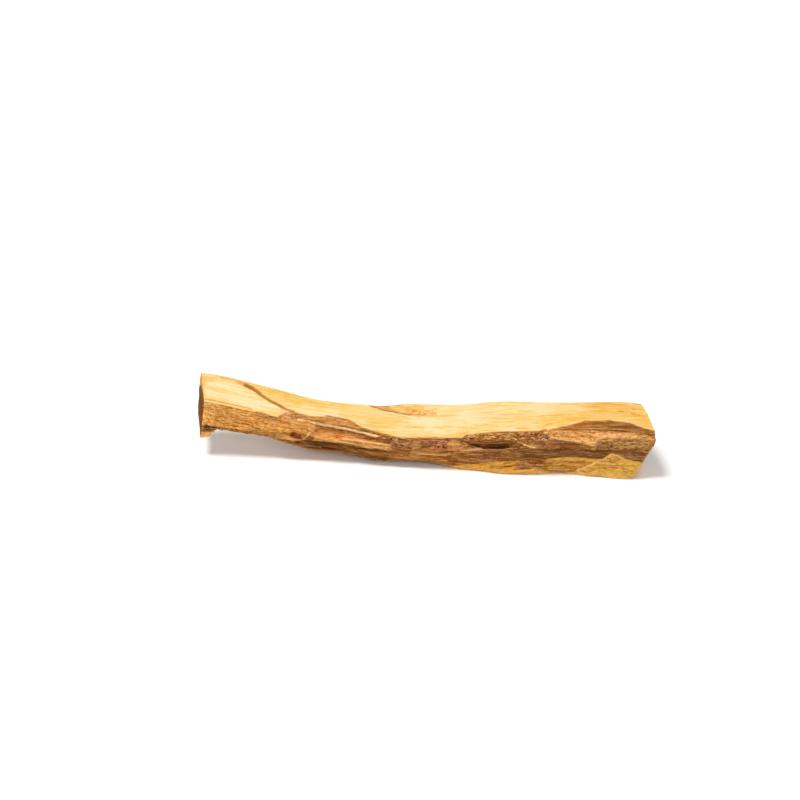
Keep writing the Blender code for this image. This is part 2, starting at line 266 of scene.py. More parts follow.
SAP_MARKS = [
    # left facet, whitish, with a warm rim at the saw cut
    Mark([(206, 380), (228, 380), (244, 387), (262, 399), (280, 409), (256, 410), (240, 405), (206, 398)],
         WHITISH, soft=5.0, cover=0.85),
    Mark([(198, 370), (224, 374), (214, 381), (198, 383)], APRICOT, soft=4.0, cover=0.6),
    *stroke(HONEY, 1.2, [(203, 378), (203.6, 402)], soft=2.4, cover=0.7),
    *stroke(BUTTER, 1.4, [(205, 397), (222, 400), (240, 404.6)], soft=3.0, cover=0.7),
    # fine line and pale strip over its lower edge
    *stroke(RUST, 0.55, [(205, 398.6), (222, 402), (232, 404.2), (242, 406.6), (252, 409)], cover=0.85,
            ragged=0.2),
    *stroke(WHITISH, 0.4, [(207, 400.2), (222, 403.4), (240, 407.6)], cover=0.7, ragged=0.2),
    # yellow facet on the right of the crease
    Mark([(256, 384), (285, 389), (310, 396), (345, 403), (352, 408), (330, 410), (300, 408), (285, 402),
          (268, 395)], YELLOW, soft=5.0, cover=0.9),
    *stroke(HONEY, 2.5, [(257, 386), (275, 391), (292, 398)], soft=3.0, cover=0.45),
    *stroke(WHITISH, 2.5, [(303, 407), (318, 410), (336, 412)], soft=5.0, cover=0.7),
    # the crease: a wide rusty start, dark knots and a thin line that runs into the brown wood
    *stroke(AMBER, 1.7, [(222, 377), (232, 379.6), (243, 382.4), (252, 386), (260, 391.6)], soft=3.0),
    *stroke(APRICOT, 2.4, [(250, 384), (261, 391)], soft=3.0, cover=0.6),
    *stroke(RUST, 1.5, [(238, 382), (247, 385)], soft=2.4, cover=0.55, torn=0.35),
    *stroke(RUST, 1.8, [(245, 384.6), (252, 387.4), (256.5, 390.4), (260, 393.2)], soft=1.6, cover=0.95,
            height=-0.08, torn=0.45, ragged=0.8),
    *stroke(CREASE, 1.3, [(246, 385.2), (253, 388.2), (259, 392.6)], soft=2.0, cover=0.45, torn=0.6),
    *stroke(DARK_VEIN, 0.8, [(246, 385.4), (251, 387.8)], [(252.4, 388.2), (256.4, 391.4)], soft=1.4),
    *stroke(CREASE, 1.25,
            [(257.4, 391.8), (261, 394.6), (266, 398), (271, 400.8), (276, 403.4), (283, 407.2)], soft=1.3,
            cover=0.95, ragged=0.5, height=-0.09),
    *stroke(CREASE, 1.6, [(268, 399.2), (276, 403.2)], soft=1.8, ragged=0.6),
    *stroke(CREASE, 1.4, [(279, 405.2), (286, 408.8), (293, 411.2)], soft=2.0, cover=0.9, ragged=0.8,
            height=-0.05, torn=0.3),
    *stroke(ROSE, 1.8, [(281, 412), (286, 411.6), (296, 413.4)], soft=2.6, cover=0.7),
    # middle of the top
    Mark([(410, 419), (425, 418), (442, 419), (445, 434), (425, 435), (412, 430)], WHITISH, soft=7.0,
         cover=0.8),
    *stroke(BUTTER, 4.0, [(345, 413), (375, 420), (400, 429), (430, 434)], soft=5.0, cover=0.6),
    *stroke(HONEY, 0.8, [(346, 418), (371, 428), (385, 433), (396, 436)], soft=1.6, cover=0.7),
    *stroke(TAN, 1.1, [(398, 436.8), (425, 436.6), (450, 436.6), (462, 437.2)], soft=1.6),
    *stroke(GREY_VEIN, 0.4, [(359, 422), (361, 422.2)], [(365, 421.4), (376, 422.6)],
            [(372, 426), (392, 426.8)], [(389, 414.4), (400, 416), (411, 418)], [(402, 427), (424, 427.6)],
            soft=1.0, cover=0.5),
    # orange patch: a brown wedge with a dark thread, a bright middle and a speckled end
    Mark([(361, 403.2), (370, 402.6), (380, 404), (388, 405), (400, 413), (385, 410.4), (378, 408.4),
          (371, 406)], OCHRE, soft=2.0, cover=0.85, torn=0.3),
    *stroke(HONEY, 0.6, [(372, 404.6), (380, 406.4), (390, 408.6)], soft=1.2, cover=0.6),
    *stroke(OCHRE, 0.8, [(388, 409), (400, 412), (412, 414)], soft=1.6, cover=0.6),
    Mark([(404, 410), (420, 409.4), (436, 411), (437, 416), (420, 417), (408, 415.6)], APRICOT, soft=2.0,
         cover=0.85, torn=0.42),
    Mark([(406, 404.6), (424, 405), (424, 410), (408, 410.6)], HONEY, soft=2.4, cover=0.8),
    Mark([(389, 404.8), (400, 404), (411, 405.6), (411, 412.5), (404, 413.5), (395, 410)], APRICOT,
         soft=3.0, cover=0.9, torn=0.25),
    *stroke(RUST, 0.55, [(405, 409.4), (410, 409.6)], [(408, 413.6), (415, 415)],
            [(412, 410.6), (417, 411)], [(420, 414.4), (424, 415)], soft=1.0),
    *stroke(DARK_VEIN, 0.55,
            [(361, 404), (369, 403.4), (372, 406), (378, 408), (385, 410), (395, 412), (411, 415.2)],
            [(384, 405.4), (389, 405.2), (394, 403.8), (402, 404)], cover=0.85, height=-0.05),
    *stroke(GREY_VEIN, 0.5, [(424, 410.4), (430, 410.2)], [(432, 409), (437, 408.8)],
            [(440, 415.6), (466, 415.8), (481, 414.6)], cover=0.7),
    # threads and streaks on the right half of the top
    *stroke(HONEY, 1.0, [(478, 413.6), (494, 413.1), (507, 414.4)], [(560, 404), (600, 403.6), (634, 405)],
            soft=1.8, cover=0.6),
    *stroke(GREY_VEIN, 0.6, [(519, 411), (535, 412)], [(536, 416), (566, 414.6), (584, 413)],
            [(600, 409.6), (612, 410), (624, 411)], [(579, 416.6), (584, 416.2)], soft=1.4, cover=0.4),
    Mark([(470, 404), (500, 404), (510, 410), (505, 420), (470, 424), (455, 412)], WHITISH, soft=8.0,
         cover=0.5),
    *stroke(YELLOW, 4.0, [(520, 428), (545, 424), (568, 418), (600, 414)], soft=6.0, cover=0.7),
    *stroke(BUTTER, 1.6, [(556, 410), (590, 411), (628, 412)], soft=2.5, cover=0.6),
    # warm right end
    Mark([(578, 396), (660, 396), (660, 434), (640, 428), (612, 422), (550, 422), (588, 412)], HONEY,
         soft=34.0),
    *stroke(AMBER, 1.8, [(604, 404), (622, 405), (640, 408)], soft=3.0, cover=0.4),
    *stroke(YELLOW, 1.6, [(640, 404), (648, 418), (655, 430)], soft=2.5),
    *stroke(VEIN, 0.4, [(632, 408.5), (636, 409.2)], [(631, 412.8), (640, 415)],
            [(618, 410.5), (624, 411.4)], soft=0.7, cover=0.7),
]

HEART_MARKS = [
    # golden torn wood on the left
    Mark([(196, 400), (206, 401), (224, 404.4), (240, 408), (257, 410.6), (270, 414), (281, 417),
          (300, 418.6), (316, 424), (310, 434), (300, 434), (286, 432.6), (262, 433), (240, 430),
          (220, 427), (196, 425)], GOLDEN, torn=1.0),
    *stroke(BRIGHT_GOLDEN, 2.8, [(208, 408), (235, 412.6), (246, 415)],
            [(268, 425), (288, 427.4), (306, 429)], [(210, 416.4), (240, 418.6)], soft=3.0, cover=0.65),
    *stroke(DARK_GOLD, 0.55, [(206, 419), (210, 419.6)], [(216, 420.4), (220, 421.2)],
            [(221, 421), (227, 422)], [(228.4, 423), (230.4, 424)], [(222, 425.6), (227, 426.8)],
            [(231, 425.2), (238, 427.4)], [(211, 411.4), (213, 412.2)], [(217.6, 412.8), (219, 413.4)],
            [(225, 411), (228, 411.4)], [(208, 408), (208, 413)], [(235, 415), (237.6, 415.6)],
            [(243, 415.8), (247, 416.4)], [(246.6, 413.6), (248, 411)], [(252, 430.4), (258, 431.4)],
            [(247, 430), (249, 430.8)], [(228, 407), (232, 408.2)], soft=0.9, cover=0.9),
    *stroke(CHESTNUT, 0.7, [(233, 421.6), (239, 423.2)],
            [(241, 423.6), (249, 425), (258, 428.4), (268, 431.4)], [(261, 421.6), (266, 424)], soft=1.1,
            cover=0.85, height=-0.05),
    *stroke(PALE_CHIP, 0.6, [(228, 424.4), (230, 425.8)], [(222, 429), (227, 429.6)],
            [(251, 428), (256, 429.4)], [(240, 417.8), (247, 418)], [(252, 421), (260, 423)],
            [(270, 421.6), (276, 423.6)], [(284, 424.4), (294, 426)], [(204.6, 413), (204.8, 416)],
            soft=0.9, height=0.05),
    # pinkish wood where it meets the sapwood
    Mark([(255, 412), (263, 413.6), (270, 415.6), (280, 418.6), (276, 421), (262, 418.6), (253, 416)],
         HATCHED, soft=1.4, cover=0.85),
    Mark([(280, 416), (290, 409), (293, 414), (290, 419), (282, 419)], PEACH, soft=3.0, cover=0.8,
         torn=0.7),
    Mark([(290.6, 409), (302, 413), (318, 416.6), (318, 421), (304, 420.4), (289, 421)], HATCHED, soft=2.0,
         cover=0.95, torn=0.7),
    *stroke(PINK_BROWN, 0.8, [(276, 416.6), (284, 418), (289, 419), (297, 417.8), (304, 418.2), (317, 420)],
            [(289, 410.6), (297, 413.8), (304, 416.4), (312, 417.8)], soft=1.4, cover=0.75),
    *stroke(CHESTNUT, 0.4, [(291.6, 412), (292, 415.6)], [(294.8, 413.4), (295, 416.4)],
            [(298.4, 414), (298.4, 417)], [(302, 415), (302, 418)], [(306, 415.6), (306, 418)], soft=0.8,
            cover=0.6, ragged=0.2),
    *stroke(CHESTNUT, 0.5, [(257, 411.8), (268, 415), (280, 418.2)], [(270, 416.4), (280, 420.4)],
            [(272, 419), (276, 421)]),
    *stroke(DARK_GOLD, 0.5, [(204, 402), (215, 403.8), (224, 406), (232, 408), (241, 409.8)], cover=0.9,
            ragged=0.2),
    # lower rim of the golden wood
    Mark([(240, 430.6), (262, 433.4), (286, 433.4), (302, 440), (280, 440), (256, 434.6)], TAN, soft=1.2,
         cover=0.7, torn=0.6),
    *stroke(BROWN, 1.2, [(204, 425.6), (220, 428.6), (240, 432.6), (256, 435), (280, 440), (302, 446)],
            soft=1.2, cover=0.85),
    *stroke(CHESTNUT, 0.5, [(244, 431.6), (262, 434.8), (282, 438)],
            [(262, 432.8), (276, 434.6), (287, 434.2)], [(268, 437.4), (282, 440.4)], cover=0.65),
    Mark([(285, 433.4), (292, 432.8), (301, 434.8), (302, 437.6), (298, 439.8), (290, 437)], KNOT_RED,
         soft=1.2, cover=0.9, torn=0.6, height=-0.16),
    # painted shade in the knot's hole
    *stroke(GAP_SHADE, 0.6, [(295.6, 437), (299, 437.4)], soft=1.2, cover=0.5),
    *stroke(ROSE, 0.6, [(289, 438.4), (296, 440)], [(301.6, 438), (303, 439.4)], cover=0.7),
    # painted shade in the recess under the overhang at the left end
    Mark([(204, 424.8), (212, 426), (222, 429.2), (213, 431.4), (203, 431.8)], GAP_SHADE, cover=0.9, height=-0.3),
    Mark([(196, 431.8), (204, 431.6), (212, 432.4), (210, 440), (196, 441)], TAN, soft=0.8, torn=0.5),
    # band between the sapwood and the first ridge
    Mark([(298, 413.6), (312, 417), (321, 416), (328, 415), (342, 417.6), (350, 420), (360, 425.6),
          (370, 429.6), (392, 436), (390, 440), (376, 436.6), (367, 434), (353, 430.6), (340, 428),
          (320, 424), (300, 419.6)], HATCHED, torn=0.55),
    Mark([(334, 419), (344, 420), (353, 423), (353, 427.4), (342, 425.4), (334, 423)], PINKISH, soft=1.5,
         cover=0.7),
    Mark([(356, 426), (372, 430.6), (378, 435), (360, 430.8)], OLIVE, soft=1.4, cover=0.8),
    *stroke(BROWN, 0.5, [(300, 415.4), (312, 418)], [(328, 416.2), (342, 418.8), (351, 421.6)], soft=1.0,
            cover=0.7),
    *stroke(OLIVE, 0.5, [(308, 419.4), (320, 421.8), (330, 424.2), (345, 427), (354, 428.8)], cover=0.55),
    *stroke(CHESTNUT, 1.0, [(372, 433.8), (384, 436.8), (394, 439)], soft=1.2, height=-0.05),
    *stroke(BRIGHT_CHIP, 1.05, [(298, 419.6), (310, 421.9), (320, 424.3), (330, 426.3), (350, 429.9),
             (360, 432.2), (377, 436.4)], cover=0.95, height=0.09, ragged=0.4),
    # sunk shelf, its step on the left and its lower ridge
    Mark([(313, 429), (320, 427.2), (330, 428.4), (343, 431.2), (368, 436.8), (380, 440.2), (390, 443),
          (388, 445.4), (372, 443), (350, 440.2), (326, 439), (312, 437)], SHELF, torn=0.5, height=-0.06,
         ragged=0.5),
    Mark([(334, 430), (344, 432.4), (344, 437), (336, 438), (333, 434)], RED_BROWN, soft=2.0, cover=0.5),
    *stroke(RED_BROWN, 0.6,
            [(320, 427), (330, 428.4), (340, 430.2), (352, 433), (370, 436.6), (378, 438.4)], soft=1.2,
            cover=0.4, ragged=0.4),
    *stroke(RED_BROWN, 1.0, [(355, 436.8), (368, 439.2)], [(369, 438.4), (377, 440.8), (384, 443)],
            soft=1.2, cover=0.75),
    *stroke(CHESTNUT, 0.6, [(335.6, 436), (337.4, 437.4)], [(350, 436.6), (352, 437.6)], soft=1.0),
    *stroke(TAN, 0.9, [(316, 437.6), (330, 439.8), (343, 441.6)], soft=0.9, cover=0.85, height=0.08),
    *stroke(PALE_CHIP, 0.6, [(343, 438.4), (352, 439.6), (370, 442), (380, 443.5), (389, 445.3)],
            [(344, 442.2), (351, 443.4), (358, 445.4)], soft=1.2, cover=0.75, height=0.08, ragged=0.5),
    Mark([(354, 442.2), (370, 444), (388, 446.8), (388, 450.4), (378, 448.4), (364, 447.6)], HATCHED,
         soft=1.6, cover=0.85, torn=0.6, ragged=0.8),
    # raised edge of the step with a painted highlight, and painted shadow dashes beside it
    *stroke(PALE_CHIP, 0.8, [(307, 436.4), (309, 433.6), (311.4, 430.4), (314, 428.2), (319, 426.8)],
            cover=0.9, height=0.12, ragged=0.4),
    *stroke(CHESTNUT, 0.6, [(311.4, 432.6), (313, 433.4)], [(315.6, 431), (317.4, 431.2)],
            [(306, 439), (308, 439.4)], cover=0.85, ragged=0.4),
    # dark face under the lower ridge: dark brown wood with painted shade under the ridge and along the
    # bottom edge
    Mark([(296, 441), (310, 440.4), (332, 442.8), (343, 443.8), (353, 446), (362, 448.6), (378, 449.6),
          (388, 452), (394, 456), (394, 468), (360, 466), (320, 458), (296, 452)], UMBER, torn=0.15,
         height=-0.1, ragged=0.5),
    Mark([(334, 447), (350, 447), (358, 452), (352, 456), (336, 453)], CHESTNUT, soft=3.0, cover=0.5),
    Mark([(358, 450), (370, 451), (372, 457), (360, 456)], PURPLE_BROWN, soft=2.5, cover=0.8),
    Mark([(368, 449.8), (386, 452), (392, 456), (384, 458.6), (372, 457)], BROWN, soft=2.4, cover=0.8),
    # painted shade just under the ridge
    *stroke(UMBER, 0.55, [(343, 443.6), (352, 445.8), (361, 448.2), (379, 449.4), (389, 453)], cover=0.9),
    # painted shade along the bottom edge
    *stroke(GAP_SHADE, 1.3, [(308, 448), (320, 446.8), (331, 448)], [(366, 460.4), (380, 461.8), (393, 461.4)],
            soft=1.8),
    *stroke(PURPLE_BROWN, 0.5, [(300, 443.6), (310, 446)], [(300, 446), (308, 448)],
            [(346, 448), (354, 450)], soft=1.0, cover=0.7),
    # knotted middle
    Mark([(402, 440), (420, 440), (420, 448), (404, 448)], PINK_BROWN, soft=1.2, torn=0.9),
    Mark([(389, 439), (396, 438.4), (405, 440), (405, 446.4), (396, 447), (388, 444.6)], KNOT_RED, soft=1.2,
         torn=0.9, height=-0.08),
    Mark([(420, 440.4), (432, 440), (436, 441), (436, 446), (430, 448), (423, 447)], PLUM, soft=1.4,
         cover=0.95, torn=0.5),
    Mark([(436, 440.6), (448, 440.6), (448, 449), (435, 449)], PINK_BROWN, soft=1.4, torn=0.9),
    Mark([(448, 440.4), (458, 440.8), (463, 442), (462, 446), (450, 447)], TAN, soft=1.4, cover=0.75,
         torn=0.9),
    Mark([(456, 447), (469, 447), (469, 450), (456, 450.4)], PINKISH, soft=1.2, cover=0.8, torn=0.5),
    *stroke(TAN, 1.0, [(414, 441.6), (417, 446)], [(407, 445.4), (413, 446.4)], soft=1.4, cover=0.6),
    *stroke(ROSE, 0.7, [(401, 443.6), (408, 444.8)], [(436, 442.4), (440, 443.4)],
            [(403, 448.8), (409, 449)], soft=1.0, cover=0.7),
    *stroke(RUST, 0.8, [(449, 446.6), (456, 446.8)], soft=1.0),
    *stroke(OLIVE, 1.8, [(460, 442), (467, 444.4)], soft=2.0, cover=0.85),
    *stroke(PALE_CHIP, 0.6, [(392.6, 440), (395, 440.8)], [(413, 449), (417.6, 448)],
            [(448.4, 450.6), (450, 450.4)], [(452, 449.6), (454, 449.8)], cover=0.85, height=0.08),
    *stroke(UMBER, 0.6, [(393, 437.4), (398, 438.4), (404, 440)], [(390, 446), (398, 447), (404, 446.2)],
            [(408, 448.4), (410, 449.4)], [(438, 447), (441, 448.6)], [(446.4, 451.4), (448, 452)],
            [(451, 451.6), (455, 452)], soft=0.9, cover=0.85, height=-0.05),
    *stroke(UMBER, 1.0, [(399, 439), (430, 439.4), (450, 439.3), (463, 440)], soft=1.2, cover=0.95,
            ragged=0.3, torn=0.2),
    *stroke(ROSE, 1.1, [(470.6, 448.2), (481, 448)], cover=0.95, height=0.06, ragged=0.4),
    *stroke(CHESTNUT, 0.5, [(470, 450.2), (481, 450.2)]),
    # torn slope and hollow right of the middle
    Mark([(466, 437), (468, 433.6), (480, 432.6), (500, 431), (520, 431), (522, 439), (505, 440),
          (480, 440.8), (468, 440.4)], WARM_BROWN, torn=1.0),
    *stroke(BRIGHT_GOLDEN, 1.0, [(484, 434.4), (500, 434.8)], [(502, 436.6), (516, 436)], soft=1.6,
            cover=0.4),
    *stroke(RUST, 1.1, [(473, 435.4), (479, 438.6)], soft=1.2, cover=0.7),
    *stroke(PALE_CHIP, 0.6, [(495.4, 434), (497.6, 434.6)], [(486, 437), (492, 437.4)], height=0.05),
    *stroke(CHESTNUT, 0.5, [(483, 435.8), (494, 435.2)], [(502, 434.4), (512, 433.4), (520, 432.8)],
            [(490, 438.4), (502, 438.4)], [(500, 439.8), (514, 439.8)]),
    # the hollow: brown wood, with painted shade in its deepest part and under its upper edge
    Mark([(463, 440.6), (470, 441.6), (480, 441.2), (492, 440.2), (504, 440.4), (514, 442), (522, 446),
          (520, 448), (500, 448.2), (484, 448), (476, 446.6), (469, 445.4)], CHESTNUT, soft=1.2, cover=0.9,
         torn=0.35, height=-0.2),
    Mark([(483, 447.2), (490, 444.6), (500, 444.4), (511, 444.8), (518, 447.2), (508, 448), (488, 448)],
         UMBER, soft=1.6, cover=0.8, height=-0.05),
    *stroke(GAP_SHADE, 0.65, [(465, 441.4), (470, 444.6), (478, 445.8), (485, 447.2)], soft=0.9, cover=0.9),
    *stroke(PALE_BROWN, 0.9, [(474, 443), (480, 443)], [(484, 449.6), (500, 449), (513, 449.2)], soft=1.2,
            cover=0.6),
    # red torn patch, the splinter under it and the streaks beside it
    Mark([(519, 432.6), (528, 431.8), (541, 431.4), (543, 434), (549, 436), (554, 439), (548, 441.4),
          (536, 442), (526, 441.6), (519, 439)], TORN_RED, torn=1.0, height=-0.1, ragged=0.6),
    Mark([(526, 441.4), (536, 441.8), (537, 446), (531, 446.6)], DARK_GOLD, soft=1.2, cover=0.8),
    Mark([(536, 442), (548, 440.8), (556, 440.2), (568, 441.2), (580, 442.8), (590, 446), (592, 449.4),
          (560, 449.4), (536, 449.4)], PURPLE_BROWN, cover=0.95, torn=0.25, ragged=0.5),
    *stroke(ROSE, 0.8, [(520, 434.4), (527, 434)], [(522.6, 437.8), (525, 438.4)],
            [(540, 440), (547, 440.4)], soft=1.0, cover=0.85, height=0.05),
    *stroke(MAROON, 0.9, [(530, 435), (540, 436)], [(540, 437.8), (549, 438.8)], [(529, 439.4), (536, 440)],
            soft=1.2, cover=0.7),
    *stroke(UMBER, 0.55, [(514, 446.8), (522, 447.8), (530, 449.4)],
            [(546, 443.6), (565, 443.6), (582, 445)]),
    *stroke(PINK_BROWN, 0.8, [(548, 446.4), (570, 446.6), (584, 447.2)], [(544, 442), (556, 442)],
            soft=1.2),
    *stroke(PALE_CHIP, 0.65, [(519.4, 442.4), (526, 445.2), (530, 447), (535, 447.8)], height=0.15,
            ragged=0.2, cover=1.0),
    # upper brown face on the right
    Mark([(548, 429.6), (553, 428), (563, 426), (577, 422.8), (584, 420), (610, 419.4), (630, 422.4),
          (641, 426.4), (658, 431), (656, 436), (643, 433.4), (626, 432), (600, 430.6), (548, 430.8)],
         BROWN, torn=0.15, ragged=0.5),
    Mark([(560, 427.4), (578, 424.4), (592, 422), (592, 430), (562, 430)], RED_BROWN, soft=2.0, cover=0.45),
    Mark([(616, 423.6), (632, 425), (642, 428), (640, 431.6), (624, 430.6), (614, 428)], CHESTNUT, soft=2.0,
         cover=0.8),
    *stroke(RUST, 0.9, [(551, 429.8), (560, 430)]),
    *stroke(DARK_GOLD, 0.9, [(582, 421.8), (594, 421.2)], soft=1.4),
    *stroke(CHESTNUT, 0.8, [(584, 421.2), (610, 421), (622, 423), (631, 424.6), (642, 427.8)],
            [(640, 429.4), (652, 431.8)], [(560, 428.4), (567, 426.8)], soft=1.4),
    *stroke(CHESTNUT, 0.4, [(596, 425), (616, 426)], [(600, 428), (620, 428.6)], soft=0.9, cover=0.6),
    # pale torn facet: painted highlights on its lower edge and ledge, painted shade and shadow at its top
    # and ledge
    Mark([(543, 433), (548, 430.6), (585, 430.8), (612, 431.4), (630, 432.6), (643, 433.4), (649, 436),
          (642, 438), (621, 437.6), (604, 438.4), (597.6, 439.6), (592.6, 446), (585, 443.2), (567, 440.6),
          (553, 438)], FACET, torn=1.0, height=0.12, ragged=0.3),
    Mark([(600, 432.2), (626, 432.8), (640, 434.4), (628, 437), (602, 437.6)], PEACH, soft=1.6, cover=0.5,
         torn=0.85),
    Mark([(638, 433.6), (649, 434), (649, 441), (638, 440)], HATCHED, soft=1.8, cover=0.85),
    # pale chips, and painted highlights along the facet's lower edge and its ledge
    *stroke(PALE_CHIP, 0.7, [(544, 433.6), (548, 435.6), (553, 438), (567, 440.6), (580, 441.6)],
            [(590, 444.8), (594, 442)], [(592.8, 445.4), (597, 440)], [(556, 433), (562, 433.6)],
            cover=0.85, height=0.05, ragged=0.3),
    *stroke(DARK_GOLD, 0.5, [(566, 433.6), (568, 435.6)], [(574, 432.6), (576, 434.4)],
            [(580, 436), (583, 437)], [(586, 433), (588, 435)], [(572, 437), (576, 437.6)],
            [(588, 438), (591, 439)], [(609, 433), (611, 434)], soft=0.8),
    # painted shade along the top edge of the facet
    *stroke(GAP_SHADE, 0.5, [(582, 430.2), (600, 430.2), (612, 430.6), (626, 431.8)], cover=0.9, height=-0.15,
            ragged=0.3),
    # painted shadow beside the ledge
    *stroke(UMBER, 0.6, [(594.4, 446.2), (598.4, 440.4)], cover=0.9, ragged=0.3),
    # rough brown wood at the right end
    Mark([(598, 440), (604, 438.8), (621, 438), (642, 438.4), (649, 441), (650, 449), (624, 449.4),
          (600, 449.4), (593, 447)], PALE_BROWN, cover=0.85, torn=0.8, ragged=0.6),
    Mark([(597, 441.6), (614, 442), (622, 444), (627, 449.4), (597, 449.4)], CHESTNUT, soft=2.4, cover=0.7),
    Mark([(597, 444), (606, 443), (612, 448), (598, 449)], OLIVE, soft=2.0, cover=0.5),
    *stroke(CHESTNUT, 0.5, [(614, 441.2), (646, 442)], [(614, 444.4), (634, 444.6)], soft=1.0, cover=0.7),
    *stroke(TAN, 0.6, [(620, 446.4), (648, 446.2)], [(600, 440.4), (616, 440)], soft=1.0, cover=0.6),
    *stroke(UMBER, 0.65, [(603.6, 443.6), (609, 443.4)], [(623.6, 445), (626.4, 445.6)],
            [(628, 448), (631.6, 448.4)], [(634, 440), (638, 440.4)], soft=1.0, cover=0.85),
    # smooth brown face low in the middle
    Mark([(388, 450), (448, 451.4), (484, 450.4), (500, 449.8), (506, 463), (470, 466.6), (448, 468),
          (420, 466.6), (388, 464)], BROWN, soft=1.2, torn=0.3),
    Mark([(478, 450.6), (516, 449.8), (516, 459.4), (478, 461)], PURPLE_BROWN, soft=5.0, cover=0.75),
    *stroke(WARM_BROWN, 1.4, [(396, 456.8), (424, 457.2), (447, 458)], [(400, 453.4), (416, 453.6)],
            soft=1.8, cover=0.75),
    *stroke(TAN, 0.55, [(417, 454.2), (432, 454.6), (447, 455.8)], [(440, 460.4), (448, 460.8)], cover=0.9,
            height=0.06),
    *stroke(CHESTNUT, 0.5, [(396, 451.2), (425, 451.6), (446, 452.2)],
            [(402, 455.8), (425, 456.4), (450, 457)], [(404, 459.4), (415, 459.6)],
            [(396, 458.4), (404, 459)], [(428, 462), (447, 462.8)], [(452, 453), (470, 453.4)],
            [(484, 455), (512, 454.4)], [(490, 458), (512, 457.4)], soft=0.8, cover=0.7, height=-0.04),
    *stroke(CHESTNUT, 0.9,
            [(404, 463.6), (425, 464.8), (448, 466.6), (465, 464.8), (485, 463), (500, 461.4)], soft=1.2,
            cover=0.7),
    # smooth dark face under the facet
    Mark([(514, 449.8), (548, 449.2), (590, 449.4), (605, 450), (624, 449.6), (650, 449.8), (644, 464),
          (628, 461), (618, 457), (612, 455), (600, 461), (570, 459), (540, 461), (510, 464)], DARK_PLANE,
         soft=1.2, torn=0.1, ragged=0.4),
    Mark([(500, 451), (522, 450.6), (522, 459), (500, 460)], CHESTNUT, soft=5.0, cover=0.75, torn=0.1),
    Mark([(622, 450.4), (648, 450.6), (643, 459), (640, 461), (624, 457)], PURPLE_BROWN, soft=1.5,
         cover=0.8, torn=0.4),
    *stroke(PURPLE_BROWN, 0.8, [(520, 453.4), (560, 452.6), (592, 453.6)], [(536, 455.6), (566, 455)],
            soft=1.4, cover=0.6),
    *stroke(UMBER, 0.6, [(538, 450), (570, 449.6), (598, 450.2)], [(500, 461), (520, 459.8), (536, 459.2)],
            [(530, 459.4), (550, 457.6), (570, 456.8), (590, 457.6), (601, 458.6)],
            [(626, 452), (644, 452.6)], [(626, 455), (642, 456)], [(632, 449.6), (648, 450.2)], soft=0.9),
    *stroke(RED_BROWN, 0.8, [(642, 450.8), (646, 453)], soft=1.0, cover=0.7),
    Mark([(647.6, 435), (654, 435), (654, 442.6), (649, 443)], RUST, soft=1.2, cover=0.95),
    *stroke(PEACH, 0.9, [(650, 437.6), (651, 440.4)], soft=1.4, cover=0.6),
]

